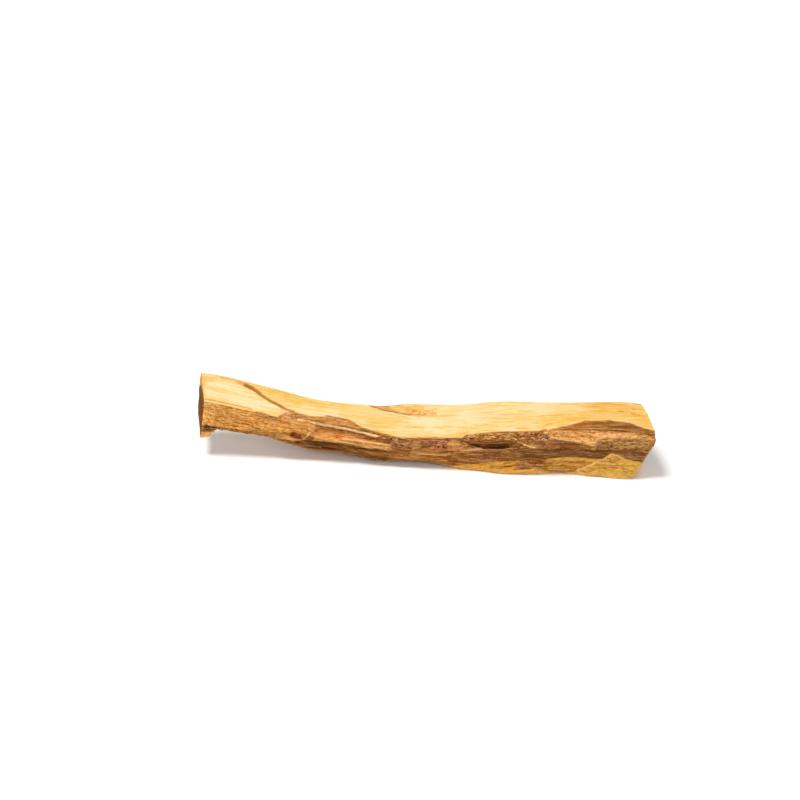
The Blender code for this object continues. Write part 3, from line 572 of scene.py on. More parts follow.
GOLD_MARKS = [
    Mark([(444, 462), (470, 464), (490, 462), (490, 475), (444, 473)], GOLD, soft=8.0, cover=0.9),
    Mark([(545, 458), (577, 456), (606, 456), (577, 473), (545, 473)], GOLD_TAN, soft=4.0, cover=0.9,
         torn=0.6),
    Mark([(519, 460), (546, 459), (546, 470), (514, 470)], GOLD_BROWN, soft=4.0, cover=0.95, torn=0.7),
    Mark([(549, 466.4), (568, 466.6), (570, 471), (552, 470.8)], PINKISH, soft=2.0, cover=0.35),
    *stroke(GOLD_TIP, 0.8, [(480, 471.4), (492, 473), (506, 472.4)],
            [(548, 459.4), (570, 458.8), (596, 460.6)], soft=1.2, cover=0.65),
    # rusty spot with torn ridges round it
    *stroke(RUST, 1.4, [(527, 463.4), (532, 466.6)], soft=1.6, torn=0.9),
    *stroke(GOLD_SHADE, 0.7, [(488, 467.4), (500, 468.4), (512.5, 466.8), (518, 465.2)],
            [(511.6, 465), (525, 464.2), (529, 467.8)], [(504, 463.6), (520, 462.4)],
            [(518, 469.4), (533, 467.8), (543, 468.6), (549, 470.6)], soft=1.0, cover=0.85, height=-0.1),
    *stroke(PALE_CHIP, 0.5, [(536.4, 464.4), (541, 465.2)], [(519, 471), (529, 470.2), (537, 470.4)],
            [(530, 469), (536, 468.6)], cover=0.75, height=0.08),
    *stroke(GOLD_SHADE, 0.45, [(551, 460.4), (575, 461.8), (592, 462.8)], [(543, 462.8), (558, 464)],
            [(556, 465.8), (574, 466.6)], [(549, 468.6), (562, 469)], cover=0.7),
    # painted shadow over the pale lip below it
    *stroke(GOLD_SHADOW, 0.55, [(545, 470.6), (552, 471.8), (562, 472.2), (574, 471.4)], cover=0.9,
            height=-0.2, ragged=0.3),
    *stroke(PALE_CHIP, 0.55, [(540, 472.6), (547, 473.8), (565, 474.6), (576, 473.4)], cover=0.85,
            height=0.06, ragged=0.3),
    # facet with a pale outline in the lower right corner
    Mark([(576.6, 474), (577.4, 470), (581, 468.4), (586, 467), (591, 464.6), (596, 462.2), (601, 458.8),
          (605, 456.4), (610, 453.6), (614, 453), (618, 455), (628, 459.4), (642, 462), (638, 482),
          (600, 482), (580, 478)], GOLD_PALE, soft=0.7, torn=0.6, height=0.14, ragged=0.3),
    Mark([(600, 461), (606, 457), (611, 454), (616, 454.4), (622, 459), (610, 461.4)], GOLD_TIP, soft=1.6,
         cover=0.85, torn=1.0),
    Mark([(624, 463), (641, 464), (635, 476), (621, 475)], GOLD_OLIVE, soft=3.0, cover=0.7),
    Mark([(628, 466), (634, 466), (633, 471), (628, 471)], GOLD_TIP, soft=3.0, cover=0.6),
    *stroke(GOLD_OLIVE, 1.2, [(600, 471), (624, 472.6)], [(584, 473.4), (600, 475)], soft=1.8, cover=0.6),
    *stroke(OCHRE, 1.2, [(623, 471.6), (627, 477)], soft=1.8, cover=0.5),
    *stroke(GOLD_SHADE, 0.45, [(594, 465.2), (610, 465), (624, 465.4)], [(603, 461.6), (614, 461.8)],
            [(598, 468), (616, 468.8)], [(588, 468.6), (594, 468)], cover=0.65),
    *stroke(PALE_CHIP, 0.55, [(576.6, 472.4), (577.4, 470), (581, 468.4), (586, 467), (591, 464.6),
             (596, 462.2), (601, 458.8), (605, 456.4), (610, 454), (614, 453.6), (619, 456.2)], cover=0.85,
            height=0.1, ragged=0.3),
    *stroke(GOLD_SHADE, 0.6, [(580, 469.6), (582.6, 470.2)], [(583, 471.4), (590, 472)],
            [(591.6, 469.6), (595, 470)], cover=0.85, height=-0.12, ragged=0.3),
    *stroke(PALE_CHIP, 0.55, [(577, 474.4), (590, 476.7), (612, 478.3), (625, 478.5)], cover=0.7,
            ragged=0.3),
]

# Marks of the back, in millimetres: x from left to right as seen from the front, and z
BACK_SAP_MARKS = [
    *stroke(HONEY, 0.5, [(-44, 12.2), (-20, 8.8), (4, 7.6)], [(8, 7.2), (30, 9), (50, 9.4)],
            [(-30, 10.6), (-6, 6.4)], soft=0.8, cover=0.6),
    Mark([(-48, 13.4), (-30, 11), (-14, 8), (-18, 6.6), (-34, 9.6), (-48, 12.4)], WHITISH, soft=1.2,
         cover=0.7),
    Mark([(12, 6.4), (26, 7.4), (36, 7.4), (34, 6.4), (20, 5.6)], WHITISH, soft=1.0, cover=0.7),
    Mark([(36, 11.4), (51, 11.8), (51, 8.8), (44, 8.4), (38, 9.6)], AMBER, soft=2.0, cover=0.6),
    *stroke(GREY_VEIN, 0.08, [(-38, 11.4), (-24, 9.2), (-12, 7.6)], [(12, 6.6), (24, 8.2), (33, 8.4)],
            [(36, 9.8), (44, 9.8)], [(-46, 11), (-40, 10.4)], [(-8, 8.6), (6, 8.4), (10, 8)], soft=0.18),
    # rusty crease that runs down into the brown wood
    *stroke(AMBER, 0.5, [(-27, 11.6), (-20, 9.8), (-14, 7.6)], soft=0.7),
    *stroke(RUST, 0.28, [(-23, 10.8), (-17, 8.6), (-11, 6.2), (-5, 4.4), (-1, 3.6)], soft=0.3, cover=0.95,
            height=-0.1),
    *stroke(VEIN, 0.14, [(-19, 9.4), (-14, 7.4), (-9, 5.4), (-5, 4.2)], soft=0.2, cover=0.9, height=-0.12),
    # orange patch with a dark thread
    Mark([(20, 7.8), (25, 9), (33, 8.6), (35, 7.8), (30, 6.9), (24, 6.8)], APRICOT, soft=0.5, cover=0.9,
         torn=0.4, height=-0.08),
    *stroke(VEIN, 0.12, [(18, 7.6), (23, 6.8), (30, 6.8), (38, 7.6)], [(24, 7.8), (27, 8)],
            [(29, 7.6), (32, 8)], soft=0.16, cover=0.9, height=-0.1),
]

BACK_HEART_MARKS = [
    Mark([(-50, 8.4), (-34, 6.6), (-26, 4.6), (-30, 2.6), (-46, 6.4)], GOLDEN, soft=0.8, cover=0.85,
         torn=1.0),
    Mark([(-18, 2.6), (-4, 2.2), (2, 0.8), (-14, 0.8)], PURPLE_BROWN, soft=0.5, cover=0.9, torn=0.2,
         height=-0.12),
    Mark([(14, 2.4), (24, 4.2), (31, 3.4), (26, 2), (17, 1.4)], FACET, soft=0.25, cover=0.9, torn=1.0,
         height=0.16),
    Mark([(34, 4.2), (50, 5), (50, 3), (36, 2.6)], CHESTNUT, soft=0.5, cover=0.9, torn=0.2, height=-0.1),
    *stroke(PALE_CHIP, 0.14, [(-44, 7.2), (-30, 5.4), (-20, 3.2)], [(14, 2.4), (24, 4.2), (31, 3.4)],
            [(-6, 2.6), (6, 2.2)], soft=0.16, cover=0.85, height=0.12),
    *stroke(UMBER, 0.14, [(-42, 6.4), (-31, 4.8), (-24, 3.2)], [(-12, 1.6), (0, 1.6), (8, 1.4)],
            [(34, 3.6), (46, 3.8)], soft=0.2, cover=0.9, height=-0.16),
]


def solid_tree(name):
    """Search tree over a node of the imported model, in millimetres."""
    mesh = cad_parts[name].data
    points = [v.co / MM for v in mesh.vertices]
    faces = [tuple(p.vertices) for p in mesh.polygons]
    return BVHTree.FromPolygons(points, faces)


def axis_curves():
    """Y and Z of the stick's middle as smooth functions of X."""
    x, y, z = np.array(AXIS).T
    return np.polynomial.Polynomial.fit(x, y, 3), np.polynomial.Polynomial.fit(x, z, 3)


AXIS_Y, AXIS_Z = axis_curves()


def axis_at(x):
    return Vector((x, float(AXIS_Y(x)), float(AXIS_Z(x))))


def saw_cut(tree, side):
    """X where the middle of the stick meets the saw cut on that side, and the cut's normal."""
    start = axis_at(side * NEAR_CUT)
    point, normal, _, _ = tree.ray_cast(start, Vector((side, 0.0, 0.0)))
    x = point.x
    for _ in range(4):
        x -= (axis_at(x) - point).dot(normal) / normal.x
    return x, normal * side


def step(values, low, high):
    """0 below low, 1 above high and smooth between them."""
    t = np.clip((values - low) / (high - low), 0.0, 1.0)
    return t * t * (3.0 - 2.0 * t)


def wrap_rings(tree):
    """Points of the solid's surface, ring by ring, with the two end rings on the saw cuts."""
    left, left_normal = saw_cut(tree, -1.0)
    right, right_normal = saw_cut(tree, 1.0)
    rings = np.empty((RINGS, COLUMNS, 3))
    for r in range(RINGS):
        x = left + (right - left) * r / (RINGS - 1)
        middle = axis_at(x)
        along = (axis_at(x + 0.5) - axis_at(x - 0.5)).normalized()
        along = left_normal.lerp(along, step(x - left, 0.0, TURN_LENGTH))
        along = right_normal.lerp(along, step(right - x, 0.0, TURN_LENGTH)).normalized()
        middle += along * END_INSET * ((r == 0) - (r == RINGS - 1))
        side = along.cross(Vector((0.0, 0.0, 1.0))).normalized()
        up = side.cross(along)
        for c in range(COLUMNS):
            angle = 2.0 * math.pi * c / COLUMNS
            angle -= CLOSER * math.sin(angle - FINEST)
            ray = side * math.cos(angle) + up * math.sin(angle)
            rings[r, c] = tree.ray_cast(middle, ray)[0]
    return rings


def blur(values, along, around, rounds):
    """Evens out values on the grid, by small steps along it and round it."""
    for _ in range(rounds):
        before = np.concatenate((values[:1], values[:-1]))
        after = np.concatenate((values[1:], values[-1:]))
        values = values + along * (0.5 * (before + after) - values)
        beside = 0.5 * (np.roll(values, 1, axis=1) + np.roll(values, -1, axis=1))
        values = values + around * (beside - values)
    return values


def unit(vectors):
    return vectors / np.maximum(np.linalg.norm(vectors, axis=-1, keepdims=True), 1e-9)


def grid_normals(rings):
    """Outward normals of the grid."""
    along = np.gradient(rings, axis=0)
    around = np.roll(rings, -1, axis=1) - np.roll(rings, 1, axis=1)
    return unit(np.cross(along, around))


def grain_of(points):
    """Each point along the grain and across it, measured from the middle of the stick."""
    x = points[..., 0]
    return np.stack((x, points[..., 1] - AXIS_Y(x), points[..., 2] - AXIS_Z(x)), axis=-1)


def grain_noise(grain, length, width, seed):
    """Noise drawn out along the grain, from -1 to 1."""
    scaled = grain / (length, width, width) + (seed, seed * 0.7, seed * 1.3)
    flat = [noise.noise(Vector(p)) for p in scaled.reshape(-1, 3).tolist()]
    return np.array(flat).reshape(grain.shape[:-1])


def camera_axes():
    """The camera's forward, right and up directions."""
    azimuth, elevation = math.radians(CAMERA_AZIMUTH), math.radians(CAMERA_ELEVATION)
    forward = np.array((
        -math.sin(azimuth) * math.cos(elevation),
        math.cos(azimuth) * math.cos(elevation),
        -math.sin(elevation),
    ))
    right = np.array((math.cos(azimuth), math.sin(azimuth), 0.0))
    return forward, right, np.cross(right, forward)


FORWARD, RIGHT, UP = camera_axes()
PIXELS = FRAME_PIXELS * LENS / SENSOR


def on_solid(tree, u, v):
    """Point of the solid that shows at a pixel of the photograph."""
    middle = FRAME_PIXELS / 2
    ray = FORWARD + RIGHT * (u - middle) / PIXELS - UP * (v - middle) / PIXELS
    camera = np.array(LOOK_AT) - FORWARD * CAMERA_DISTANCE
    return tuple(tree.ray_cast(Vector(camera), Vector(ray))[0])


def edge_distance(points, front, back):
    """How far below the edge between two kinds of wood each point lies."""
    x, y, z = points[..., 0], points[..., 1], points[..., 2]
    front_x, front_y, front_z = np.array(front).T
    back_x, back_z = np.array(back).T
    near_y, near_z = np.interp(x, front_x, front_y), np.interp(x, front_x, front_z)
    share = np.clip((y - near_y) / (BACK_Y - near_y), 0.0, 1.0)
    bow = np.interp(x, *np.array(EDGE_BOW).T) * np.sin(math.pi * share)
    return near_z + (np.interp(x, back_x, back_z) - near_z) * share + bow - z


def sap_distance(points):
    return edge_distance(points, SAP_EDGE, SAP_BACK)


def photo_pixels(points):
    """Where points show in the photograph's frame."""
    away = points - np.array(LOOK_AT)
    scale = PIXELS / (CAMERA_DISTANCE + away @ FORWARD)
    middle = FRAME_PIXELS / 2
    return middle + away @ RIGHT * scale, middle - away @ UP * scale


def inside_by(mark, u, v):
    """How far inside a mark's edge each point lies, below 0 outside it."""
    corners = mark.points if mark.width else mark.points + mark.points[:1]
    nearest = np.full_like(u, 1e9)
    crossings = np.zeros(u.shape, dtype=bool)
    for (u0, v0), (u1, v1) in zip(corners, corners[1:]):
        du, dv = u1 - u0, v1 - v0
        t = np.clip(((u - u0) * du + (v - v0) * dv) / (du * du + dv * dv), 0.0, 1.0)
        nearest = np.minimum(nearest, np.hypot(u - u0 - t * du, v - v0 - t * dv))
        if dv:
            crossings ^= ((v0 > v) != (v1 > v)) & (u < u0 + du * (v - v0) / dv)
    if mark.width:
        return mark.width - nearest
    return np.where(crossings, nearest, -nearest)


def paint(marks, place, pull, seen, values):
    """Lays marks over the wood's colour, roughness and height."""
    colour, torn, height = values
    for mark in marks:
        u, v = place[0] + mark.ragged * pull[0], place[1] + mark.ragged * pull[1]
        share = mark.cover * seen * step(inside_by(mark, u, v), -0.5 * mark.soft, 0.5 * mark.soft)
        colour = colour + (np.array(mark.colour) - colour) * share[..., None]
        height = height + mark.height * share
        if mark.torn >= 0.0:
            torn = torn + (mark.torn - torn) * share
    return colour, torn, height


def blend(low, high, share):
    """From low to high values, for single values and for colours."""
    low, high = np.asarray(low), np.asarray(high)
    return low + (high - low) * (share[..., None] if low.shape[-1:] == (3,) else share)


def wood_values(points, normals):
    """Colours of both kinds of wood, roughness and height of the marks at each point."""
    grain = grain_of(points)
    photo = photo_pixels(points)
    back = points[..., 0], points[..., 2]
    wander = grain_noise(grain, 5.0, 0.22, 43.0), grain_noise(grain, 2.5, 0.5, 47.0)
    heart_pull, sap_pull, back_pull = (
        [far * noises for far, noises in zip(pull, wander)] for pull in (HEART_PULL, SAP_PULL, BACK_PULL)
    )
    seen = step(normals @ -FORWARD, *FACING_CAMERA)
    seen_back = step(normals[..., 1], *FACING_BACK)
    broad = grain_noise(grain, 16.0, 2.5, 53.0)
    still = np.zeros(seen.shape)

    sap = blend(BUTTER, CREAM, step(broad, -0.3, 0.3)), still + SAP_TORN, still
    brown, golden = hidden_strips(grain, 1.0 - seen, broad)
    sap = paint(SAP_MARKS, photo, sap_pull, seen, sap)
    sap = paint(BACK_SAP_MARKS, back, back_pull, seen_back, sap)
    brown = paint(HEART_MARKS, photo, heart_pull, seen, brown)
    brown = paint(BACK_HEART_MARKS, back, back_pull, seen_back, brown)
    golden = paint(GOLD_MARKS, photo, heart_pull, seen, golden)

    tongues = GOLD_TONGUES * step(-normals[..., 2], 0.6, 0.95) * grain_noise(grain, 13.0, 1.0, 73.0)
    gold_distance = edge_distance(points, GOLD_EDGE, GOLD_BACK) + tongues
    gold_distance += 0.15 * grain_noise(grain, 3.0, 0.3, 59.0)
    in_gold = step(gold_distance, -0.06, 0.10)
    in_heart = step(sap_distance(points), -0.10, 0.15)
    heart = [blend(a, b, in_gold) for a, b in zip(brown, golden)]
    torn, height = (blend(a, b, in_heart) for a, b in zip(sap[1:], heart[1:]))
    return {"sap": sap[0], "heartwood": heart[0], "torn": torn, "height": height}


def hidden_strips(grain, hidden, broad):
    """Plain brown and golden wood, torn into long strips on the sides that the photograph doesn't show."""
    strips = hidden * grain_noise(grain, 22.0, 0.8, 67.0)
    dark, light = step(strips, 0.08, 0.16), step(-strips, 0.12, 0.22)
    torn = 0.7 - 0.25 * dark + 0.3 * light
    height = STRIP_RISE * light - STRIP_DEPTH * dark
    brown = blend(BROWN, SHELF, step(broad, 0.0, 0.5))
    brown = blend(blend(brown, CHESTNUT, dark), TAN, 0.8 * light)
    golden = blend(GOLD, GOLD_TAN, step(broad, -0.1, 0.4))
    golden = blend(blend(golden, GOLD_SHADE, dark), GOLD_TIP, 0.8 * light)
    return (brown, torn, height), (golden, torn - 0.1, height)


def fibre_relief(grain, torn):
    """Height of the fibres, splits and torn ledges over the plain surface."""
    ragged = grain.copy()
    ragged[..., 0] += 2.0 * grain_noise(grain, 12.0, 0.20, 5.0)
    ledges = np.round(4.0 * grain_noise(ragged, 7.0, 0.9, 11.0)) / 4.0
    coarse = grain_noise(grain, 6.0, 0.6, 17.0)
    strands = grain_noise(ragged, 2.2, 0.32, 23.0)
    crumbs = grain_noise(ragged, 0.7, 0.38, 29.0)
    split = step(1.0 - 10.0 * np.abs(grain_noise(ragged, 14.0, 0.7, 31.0)), 0.0, 1.0)
    split *= step(grain_noise(grain, 10.0, 2.5, 37.0), 0.05, 0.3)
    layers = np.stack((ledges, coarse, strands, crumbs, split), axis=-1)
    return blend(layers @ PLANED_RELIEF, layers @ TORN_RELIEF, torn)


def end_relief(points, radius):
    """Height of the end grain: saw marks, growth rings and pores."""
    saw = np.sin(points[..., 2] * 7.0 + 1.5 * np.sin(points[..., 1] * 0.5))
    rings = np.sin(radius * 2.0 * math.pi / RING_GAP)
    pores = np.array([noise.noise(Vector(p) * 3.2) for p in points.reshape(-1, 3).tolist()])
    return SAW_RELIEF * saw + RING_RELIEF * rings + PORE_RELIEF * pores.reshape(radius.shape)


def cap_rings(ring, side):
    """Rings that close an end, shrinking to its middle."""
    middle = ring.mean(axis=0)
    inward = np.cross(ring - middle, np.roll(ring, -1, axis=0) - middle).sum(axis=0)
    inward *= -side * math.copysign(1.0, inward[0]) / np.linalg.norm(inward)
    shares = 1.0 - (np.arange(1, CAP_RINGS) / CAP_RINGS) ** CAP_SPACING
    shares = shares.reshape(-1, 1, 1)
    points = middle + (ring - middle) * shares
    off_plane = ((points - middle) @ inward)[..., None]
    inside = 1.0 - shares ** RIM_HOLD
    points = points - off_plane * inward * inside
    radius = np.hypot(points[..., 1] - PITH[0], points[..., 2] - PITH[1])
    depth = CUT_DEPTH - end_relief(points, radius)[..., None]
    return points + inward * depth * inside


def over_caps(values, on_cap=None):
    """Carries a value over the two ends: what it is at the rim, or a fixed one."""
    cap = [np.broadcast_to(rim if on_cap is None else on_cap, (CAP_RINGS - 1, *rim.shape))
           for rim in (values[0], values[-1])]
    return np.concatenate((cap[0], values, cap[1]))


STICK = solid_tree("stick")
SAP_EDGE = [on_solid(STICK, *pixel) for pixel in SAP_FRONT]
GOLD_EDGE = GOLD_START + [on_solid(STICK, *pixel) for pixel in GOLD_FRONT]


def wood_skin():
    """Grid of the whole outside, and the values that its material reads."""
    rings = wrap_rings(STICK)
    rings = blur(rings, 0.12, 0.45, 2)
    normals = grid_normals(blur(rings, 0.2, 0.5, 4))
    values = wood_values(rings, normals)
    underside = step(-normals[..., 2], 0.90, 0.98)
    height = values.pop("height") + fibre_relief(grain_of(rings), values["torn"]) - MEAN_RELIEF
    height *= 1.0 - (1.0 - UNDERSIDE_RELIEF) * underside
    rings = rings + normals * height[..., None]
    rings[..., 2] = np.maximum(rings[..., 2], 0.0)

    spread = blur(rings, 0.3, 0.9, 12)
    # Height over a blurred copy of the skin, which the material turns into painted highlights and painted
    # shade
    relief = ((rings - spread) * grid_normals(spread)).sum(axis=2)
    grid = np.concatenate((cap_rings(rings[0], -1.0)[::-1], rings, cap_rings(rings[-1], 1.0)))
    values = {name: over_caps(data) for name, data in values.items()}
    values["relief"] = over_caps(relief, 0.0)
    values["end"] = over_caps(np.zeros(relief.shape), 1.0)
    values["heart"] = sap_distance(grid)
    across, above = grid[..., 1] - PITH[0], grid[..., 2] - PITH[1]
    values["radius"] = np.hypot(across, above)
    values["ray"] = np.arctan2(across, above) * PITH_DISTANCE
    values["grain"] = grain_of(grid)
    return grid, values


def grid_faces(rows):
    """Faces of the grid and of the fans that close it at both ends."""
    faces = []
    for r in range(rows - 1):
        for c in range(COLUMNS):
            n = (c + 1) % COLUMNS
            faces.append((r * COLUMNS + c, (r + 1) * COLUMNS + c, (r + 1) * COLUMNS + n, r * COLUMNS + n))
    first, last = rows * COLUMNS, rows * COLUMNS + 1
    top = (rows - 1) * COLUMNS
    for c in range(COLUMNS):
        n = (c + 1) % COLUMNS
        faces.append((first, c, n))
        faces.append((last, top + n, top + c))
    return faces


def mesh_object(name, points, faces, values, material):
    """Smooth mesh object with its attributes, from points in millimetres."""
    mesh = bpy.data.meshes.new(name)
    mesh.from_pydata((points * MM).tolist(), [], faces)
    mesh.polygons.foreach_set("use_smooth", [True] * len(mesh.polygons))
    mesh.update()
    for key, data in values.items():
        kind, field = ("FLOAT", "value") if data.ndim == 1 else ("FLOAT_VECTOR", "vector")
        attribute = mesh.attributes.new(key, kind, "POINT")
        attribute.data.foreach_set(field, data.astype(np.float32).reshape(-1))
    mesh.materials.append(material)
    piece = bpy.data.objects.new(name, mesh)
    bpy.context.scene.collection.objects.link(piece)
    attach(piece, "root")
    return piece


def flatten(data):
    """Grid values as a list of points, with the two middles of the ends."""
    flat = data.reshape(-1, *data.shape[2:])
    return np.concatenate((flat, [data[0].mean(axis=0), data[-1].mean(axis=0)]))


def unrolled(rows):
    """Map of the skin: the sides unrolled, and the ends as two discs beside them."""
    def disc(row, column):
        """Place on an end's disc, whose middle row is the first or the last one."""
        left = row < CAP_RINGS
        up = MAP_DISCS_UP[0 if left else 1]
        radius = MAP_DISC * (row if left else rows - 1 - row) / CAP_RINGS
        angle = 2.0 * math.pi * column / COLUMNS
        return MAP_DISC_ACROSS + radius * math.cos(angle), up + radius * math.sin(angle)

    def side(row, column):
        shares = (row - CAP_RINGS + 1) / (RINGS - 1), column / COLUMNS
        return [MAP_EDGE + size * share for size, share in zip(MAP_SIDES, shares)]

    places = []
    for r in range(rows - 1):
        at = side if CAP_RINGS - 1 <= r < rows - CAP_RINGS else disc
        for c in range(COLUMNS):
            places += [at(r, c), at(r + 1, c), at(r + 1, c + 1), at(r, c + 1)]
    for c in range(COLUMNS):
        places += [disc(-1, 0), disc(0, c), disc(0, c + 1)]
        places += [disc(rows, 0), disc(rows - 1, c + 1), disc(rows - 1, c)]
    return places


def add_skin(grid, values):
    """The skin as one closed mesh, in place of the solid."""
    flat = {key: flatten(data) for key, data in values.items()}
    skin = mesh_object("stick_wood", flatten(grid), grid_faces(len(grid)), flat, wood_material())
    uv_map = skin.data.uv_layers.new(name="OFBake")
    uv_map.uv.foreach_set("vector", np.array(unrolled(len(grid)), dtype=np.float32).reshape(-1))
    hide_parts("stick")


def fibre_roots(grid, values, rng):
    """Picks the points of the skin on which the fibres stand: torn heartwood well above the floor."""
    likely = step(values["torn"], 0.5, 0.9) * step(values["heart"], 0.0, 0.3) * (1.0 - values["end"])
    likely *= step(grid[..., 2], 1.0, 1.8)
    likely[:CAP_RINGS + FIBRE_MARGIN] = 0.0
    likely[-CAP_RINGS - FIBRE_MARGIN:] = 0.0
    likely = (likely / likely.sum()).reshape(-1)
    return rng.choice(likely.size, FIBRES, p=likely)


def fibre_points(root, up, forward, rng):
    """Points of the fibres, thin spindles that lift off the skin and are widest at 0.4 of their length."""
    turn = rng.normal(0.0, FIBRE_TURN, (FIBRES, 1))
    direction = forward * np.cos(turn) + np.cross(up, forward) * np.sin(turn)
    direction *= rng.choice((-1.0, 1.0), (FIBRES, 1))
    across = np.cross(up, direction)
    length = rng.uniform(*FIBRE_LENGTH, (FIBRES, 1)) * rng.uniform(0.5, 1.0, (FIBRES, 1))
    width = rng.uniform(*FIBRE_WIDTH, (FIBRES, 1))
    lift = rng.uniform(0.0, FIBRE_LIFT, (FIBRES, 1))
    middle = root + 0.4 * length * direction + 0.5 * lift * up
    return np.stack((
        root - FIBRE_ROOT * up,
        middle - width * across,
        middle + width * across,
        middle + 1.2 * width * up,
        root + length * direction + lift * up,
    ), axis=1)


def fibre_tints(wood, rng):
    """A darker or a paler tint of the wood for each fibre."""
    tone = rng.uniform(0.0, 1.0, (FIBRES, 1))
    return np.where(tone < 0.4, wood * (0.6 + tone), wood + (np.array(BRIGHT_GOLDEN) - wood) * (tone - 0.4))


def add_fibres(grid, values):
    """Loose fibres that stand a little off the torn wood, as one mesh."""
    rng = np.random.default_rng(FIBRE_SEED)
    chosen = fibre_roots(grid, values, rng)
    along = unit(np.gradient(grid, axis=0))
    root, up, forward, wood = (
        data.reshape(-1, 3)[chosen] for data in (grid, grid_normals(grid), along, values["heartwood"])
    )
    points = fibre_points(root, up, forward, rng).reshape(-1, 3)
    tints = np.repeat(fibre_tints(wood, rng), FIBRE_POINTS, axis=0)
    faces = [tuple(FIBRE_POINTS * k + i for i in face) for k in range(FIBRES) for face in FIBRE_FACES]
    mesh_object("stick_fibres", points, faces, {"tint": tints, "grain": grain_of(points)}, fibre_material())


class Graph:
    """A material's node tree, with short calls for the nodes that the wood uses."""

    def __init__(self, name):
        self.material = bpy.data.materials.new(name)
        self.material.use_nodes = True
        self.tree = self.material.node_tree
        self.shader = self.tree.nodes["Principled BSDF"]

    def add(self, kind, inputs, **settings):
        """New node, with its inputs linked or set and its settings made."""
        node = self.tree.nodes.new(kind)
        for key, value in settings.items():
            setattr(node, key, value)
        for key, value in inputs.items():
            self.plug(node.inputs[key], value)
        return node

    def plug(self, socket, value):
        if isinstance(value, bpy.types.NodeSocket):
            self.tree.links.new(value, socket)
        else:
            socket.default_value = value

    def attribute(self, name):
        return self.add("ShaderNodeAttribute", {}, attribute_name=name).outputs["Fac"]

    def vector(self, name):
        return self.add("ShaderNodeAttribute", {}, attribute_name=name).outputs["Vector"]

    def grain(self, length, width, shift=0.0):
        """Grain coordinates for a noise that is this long and wide, in millimetres."""
        scaled = self.add(
            "ShaderNodeVectorMath",
            {0: self.vector("grain"), 1: (1.0 / length, 1.0 / width, 1.0 / width), 2: (shift, shift, shift)},
            operation="MULTIPLY_ADD",
        )
        return scaled.outputs["Vector"]

    def noise(self, length, width, detail=3.0, shift=0.0):
        node = self.add(
            "ShaderNodeTexNoise",
            {"Vector": self.grain(length, width, shift), "Scale": 1.0, "Detail": detail, "Roughness": 0.6},
        )
        return node.outputs["Fac"]

    def math(self, operation, a, b=0.0, c=0.0):
        return self.add("ShaderNodeMath", {0: a, 1: b, 2: c}, operation=operation).outputs[0]

    def times(self, a, b, plus=0.0):
        """a times b, plus a third value."""
        return self.math("MULTIPLY_ADD", a, b, plus)

    def ramp(self, value, low, high):
        """0 below low, 1 above high and smooth between them."""
        node = self.add(
            "ShaderNodeMapRange", {"Value": value, "From Min": low, "From Max": high},
            interpolation_type="SMOOTHSTEP",
        )
        return node.outputs["Result"]

    def mix(self, share, a, b, blend="MIX"):
        node = self.add("ShaderNodeMix", {}, data_type="RGBA", blend_type=blend)
        self.plug(node.inputs[0], share)
        self.plug(node.inputs[6], (*a, 1.0) if isinstance(a, tuple) else a)
        self.plug(node.inputs[7], (*b, 1.0) if isinstance(b, tuple) else b)
        return node.outputs[2]

    def shaded(self, colour, shade):
        """A colour multiplied by another one."""
        return self.mix(1.0, colour, shade, "MULTIPLY")

    def tones(self, value, spread, low, middle, high):
        """Low, middle and high colours along a noise's value, which keeps close to a half."""
        first = self.mix(self.ramp(value, 0.5 - spread, 0.5 - 0.1 * spread), low, middle)
        return self.mix(self.ramp(value, 0.5 + 0.1 * spread, 0.5 + spread), first, high)

    def dress(self, colour, roughness):
        """Gives the shader its colour and its roughness, nearly without gloss."""
        self.plug(self.shader.inputs["Base Color"], colour)
        self.plug(self.shader.inputs["Roughness"], roughness)
        self.shader.inputs["Specular IOR Level"].default_value = 0.02


def end_grain(g, in_heart):
    """Colour of the saw cuts: growth rings, the rays across them and pores."""
    radius, ray = g.attribute("radius"), g.attribute("ray")
    bent = g.times(g.noise(9.0, 3.0, 3.0, 47.0), 2.4, radius)
    rings = g.math("SINE", g.times(bent, 2.0 * math.pi / RING_GAP))
    colour = g.mix(in_heart, END_SAP, END_HEART)
    colour = g.mix(g.times(g.ramp(rings, -0.2, 1.0), 0.8), colour, g.shaded(colour, LATE_WOOD))

    place = g.add("ShaderNodeCombineXYZ", {"X": g.math("DIVIDE", ray, 0.12), "Y": radius}).outputs["Vector"]
    rays = g.ramp(g.add("ShaderNodeTexNoise", {"Vector": place, "Scale": 1.0}).outputs["Fac"], 0.50, 0.68)
    colour = g.mix(g.times(rays, 0.40), colour, END_RAY)
    pores = g.ramp(g.noise(0.30, 0.20, 2.0, 53.0), 0.54, 0.64)
    return g.mix(g.times(pores, 0.55), colour, g.shaded(colour, END_PORE))


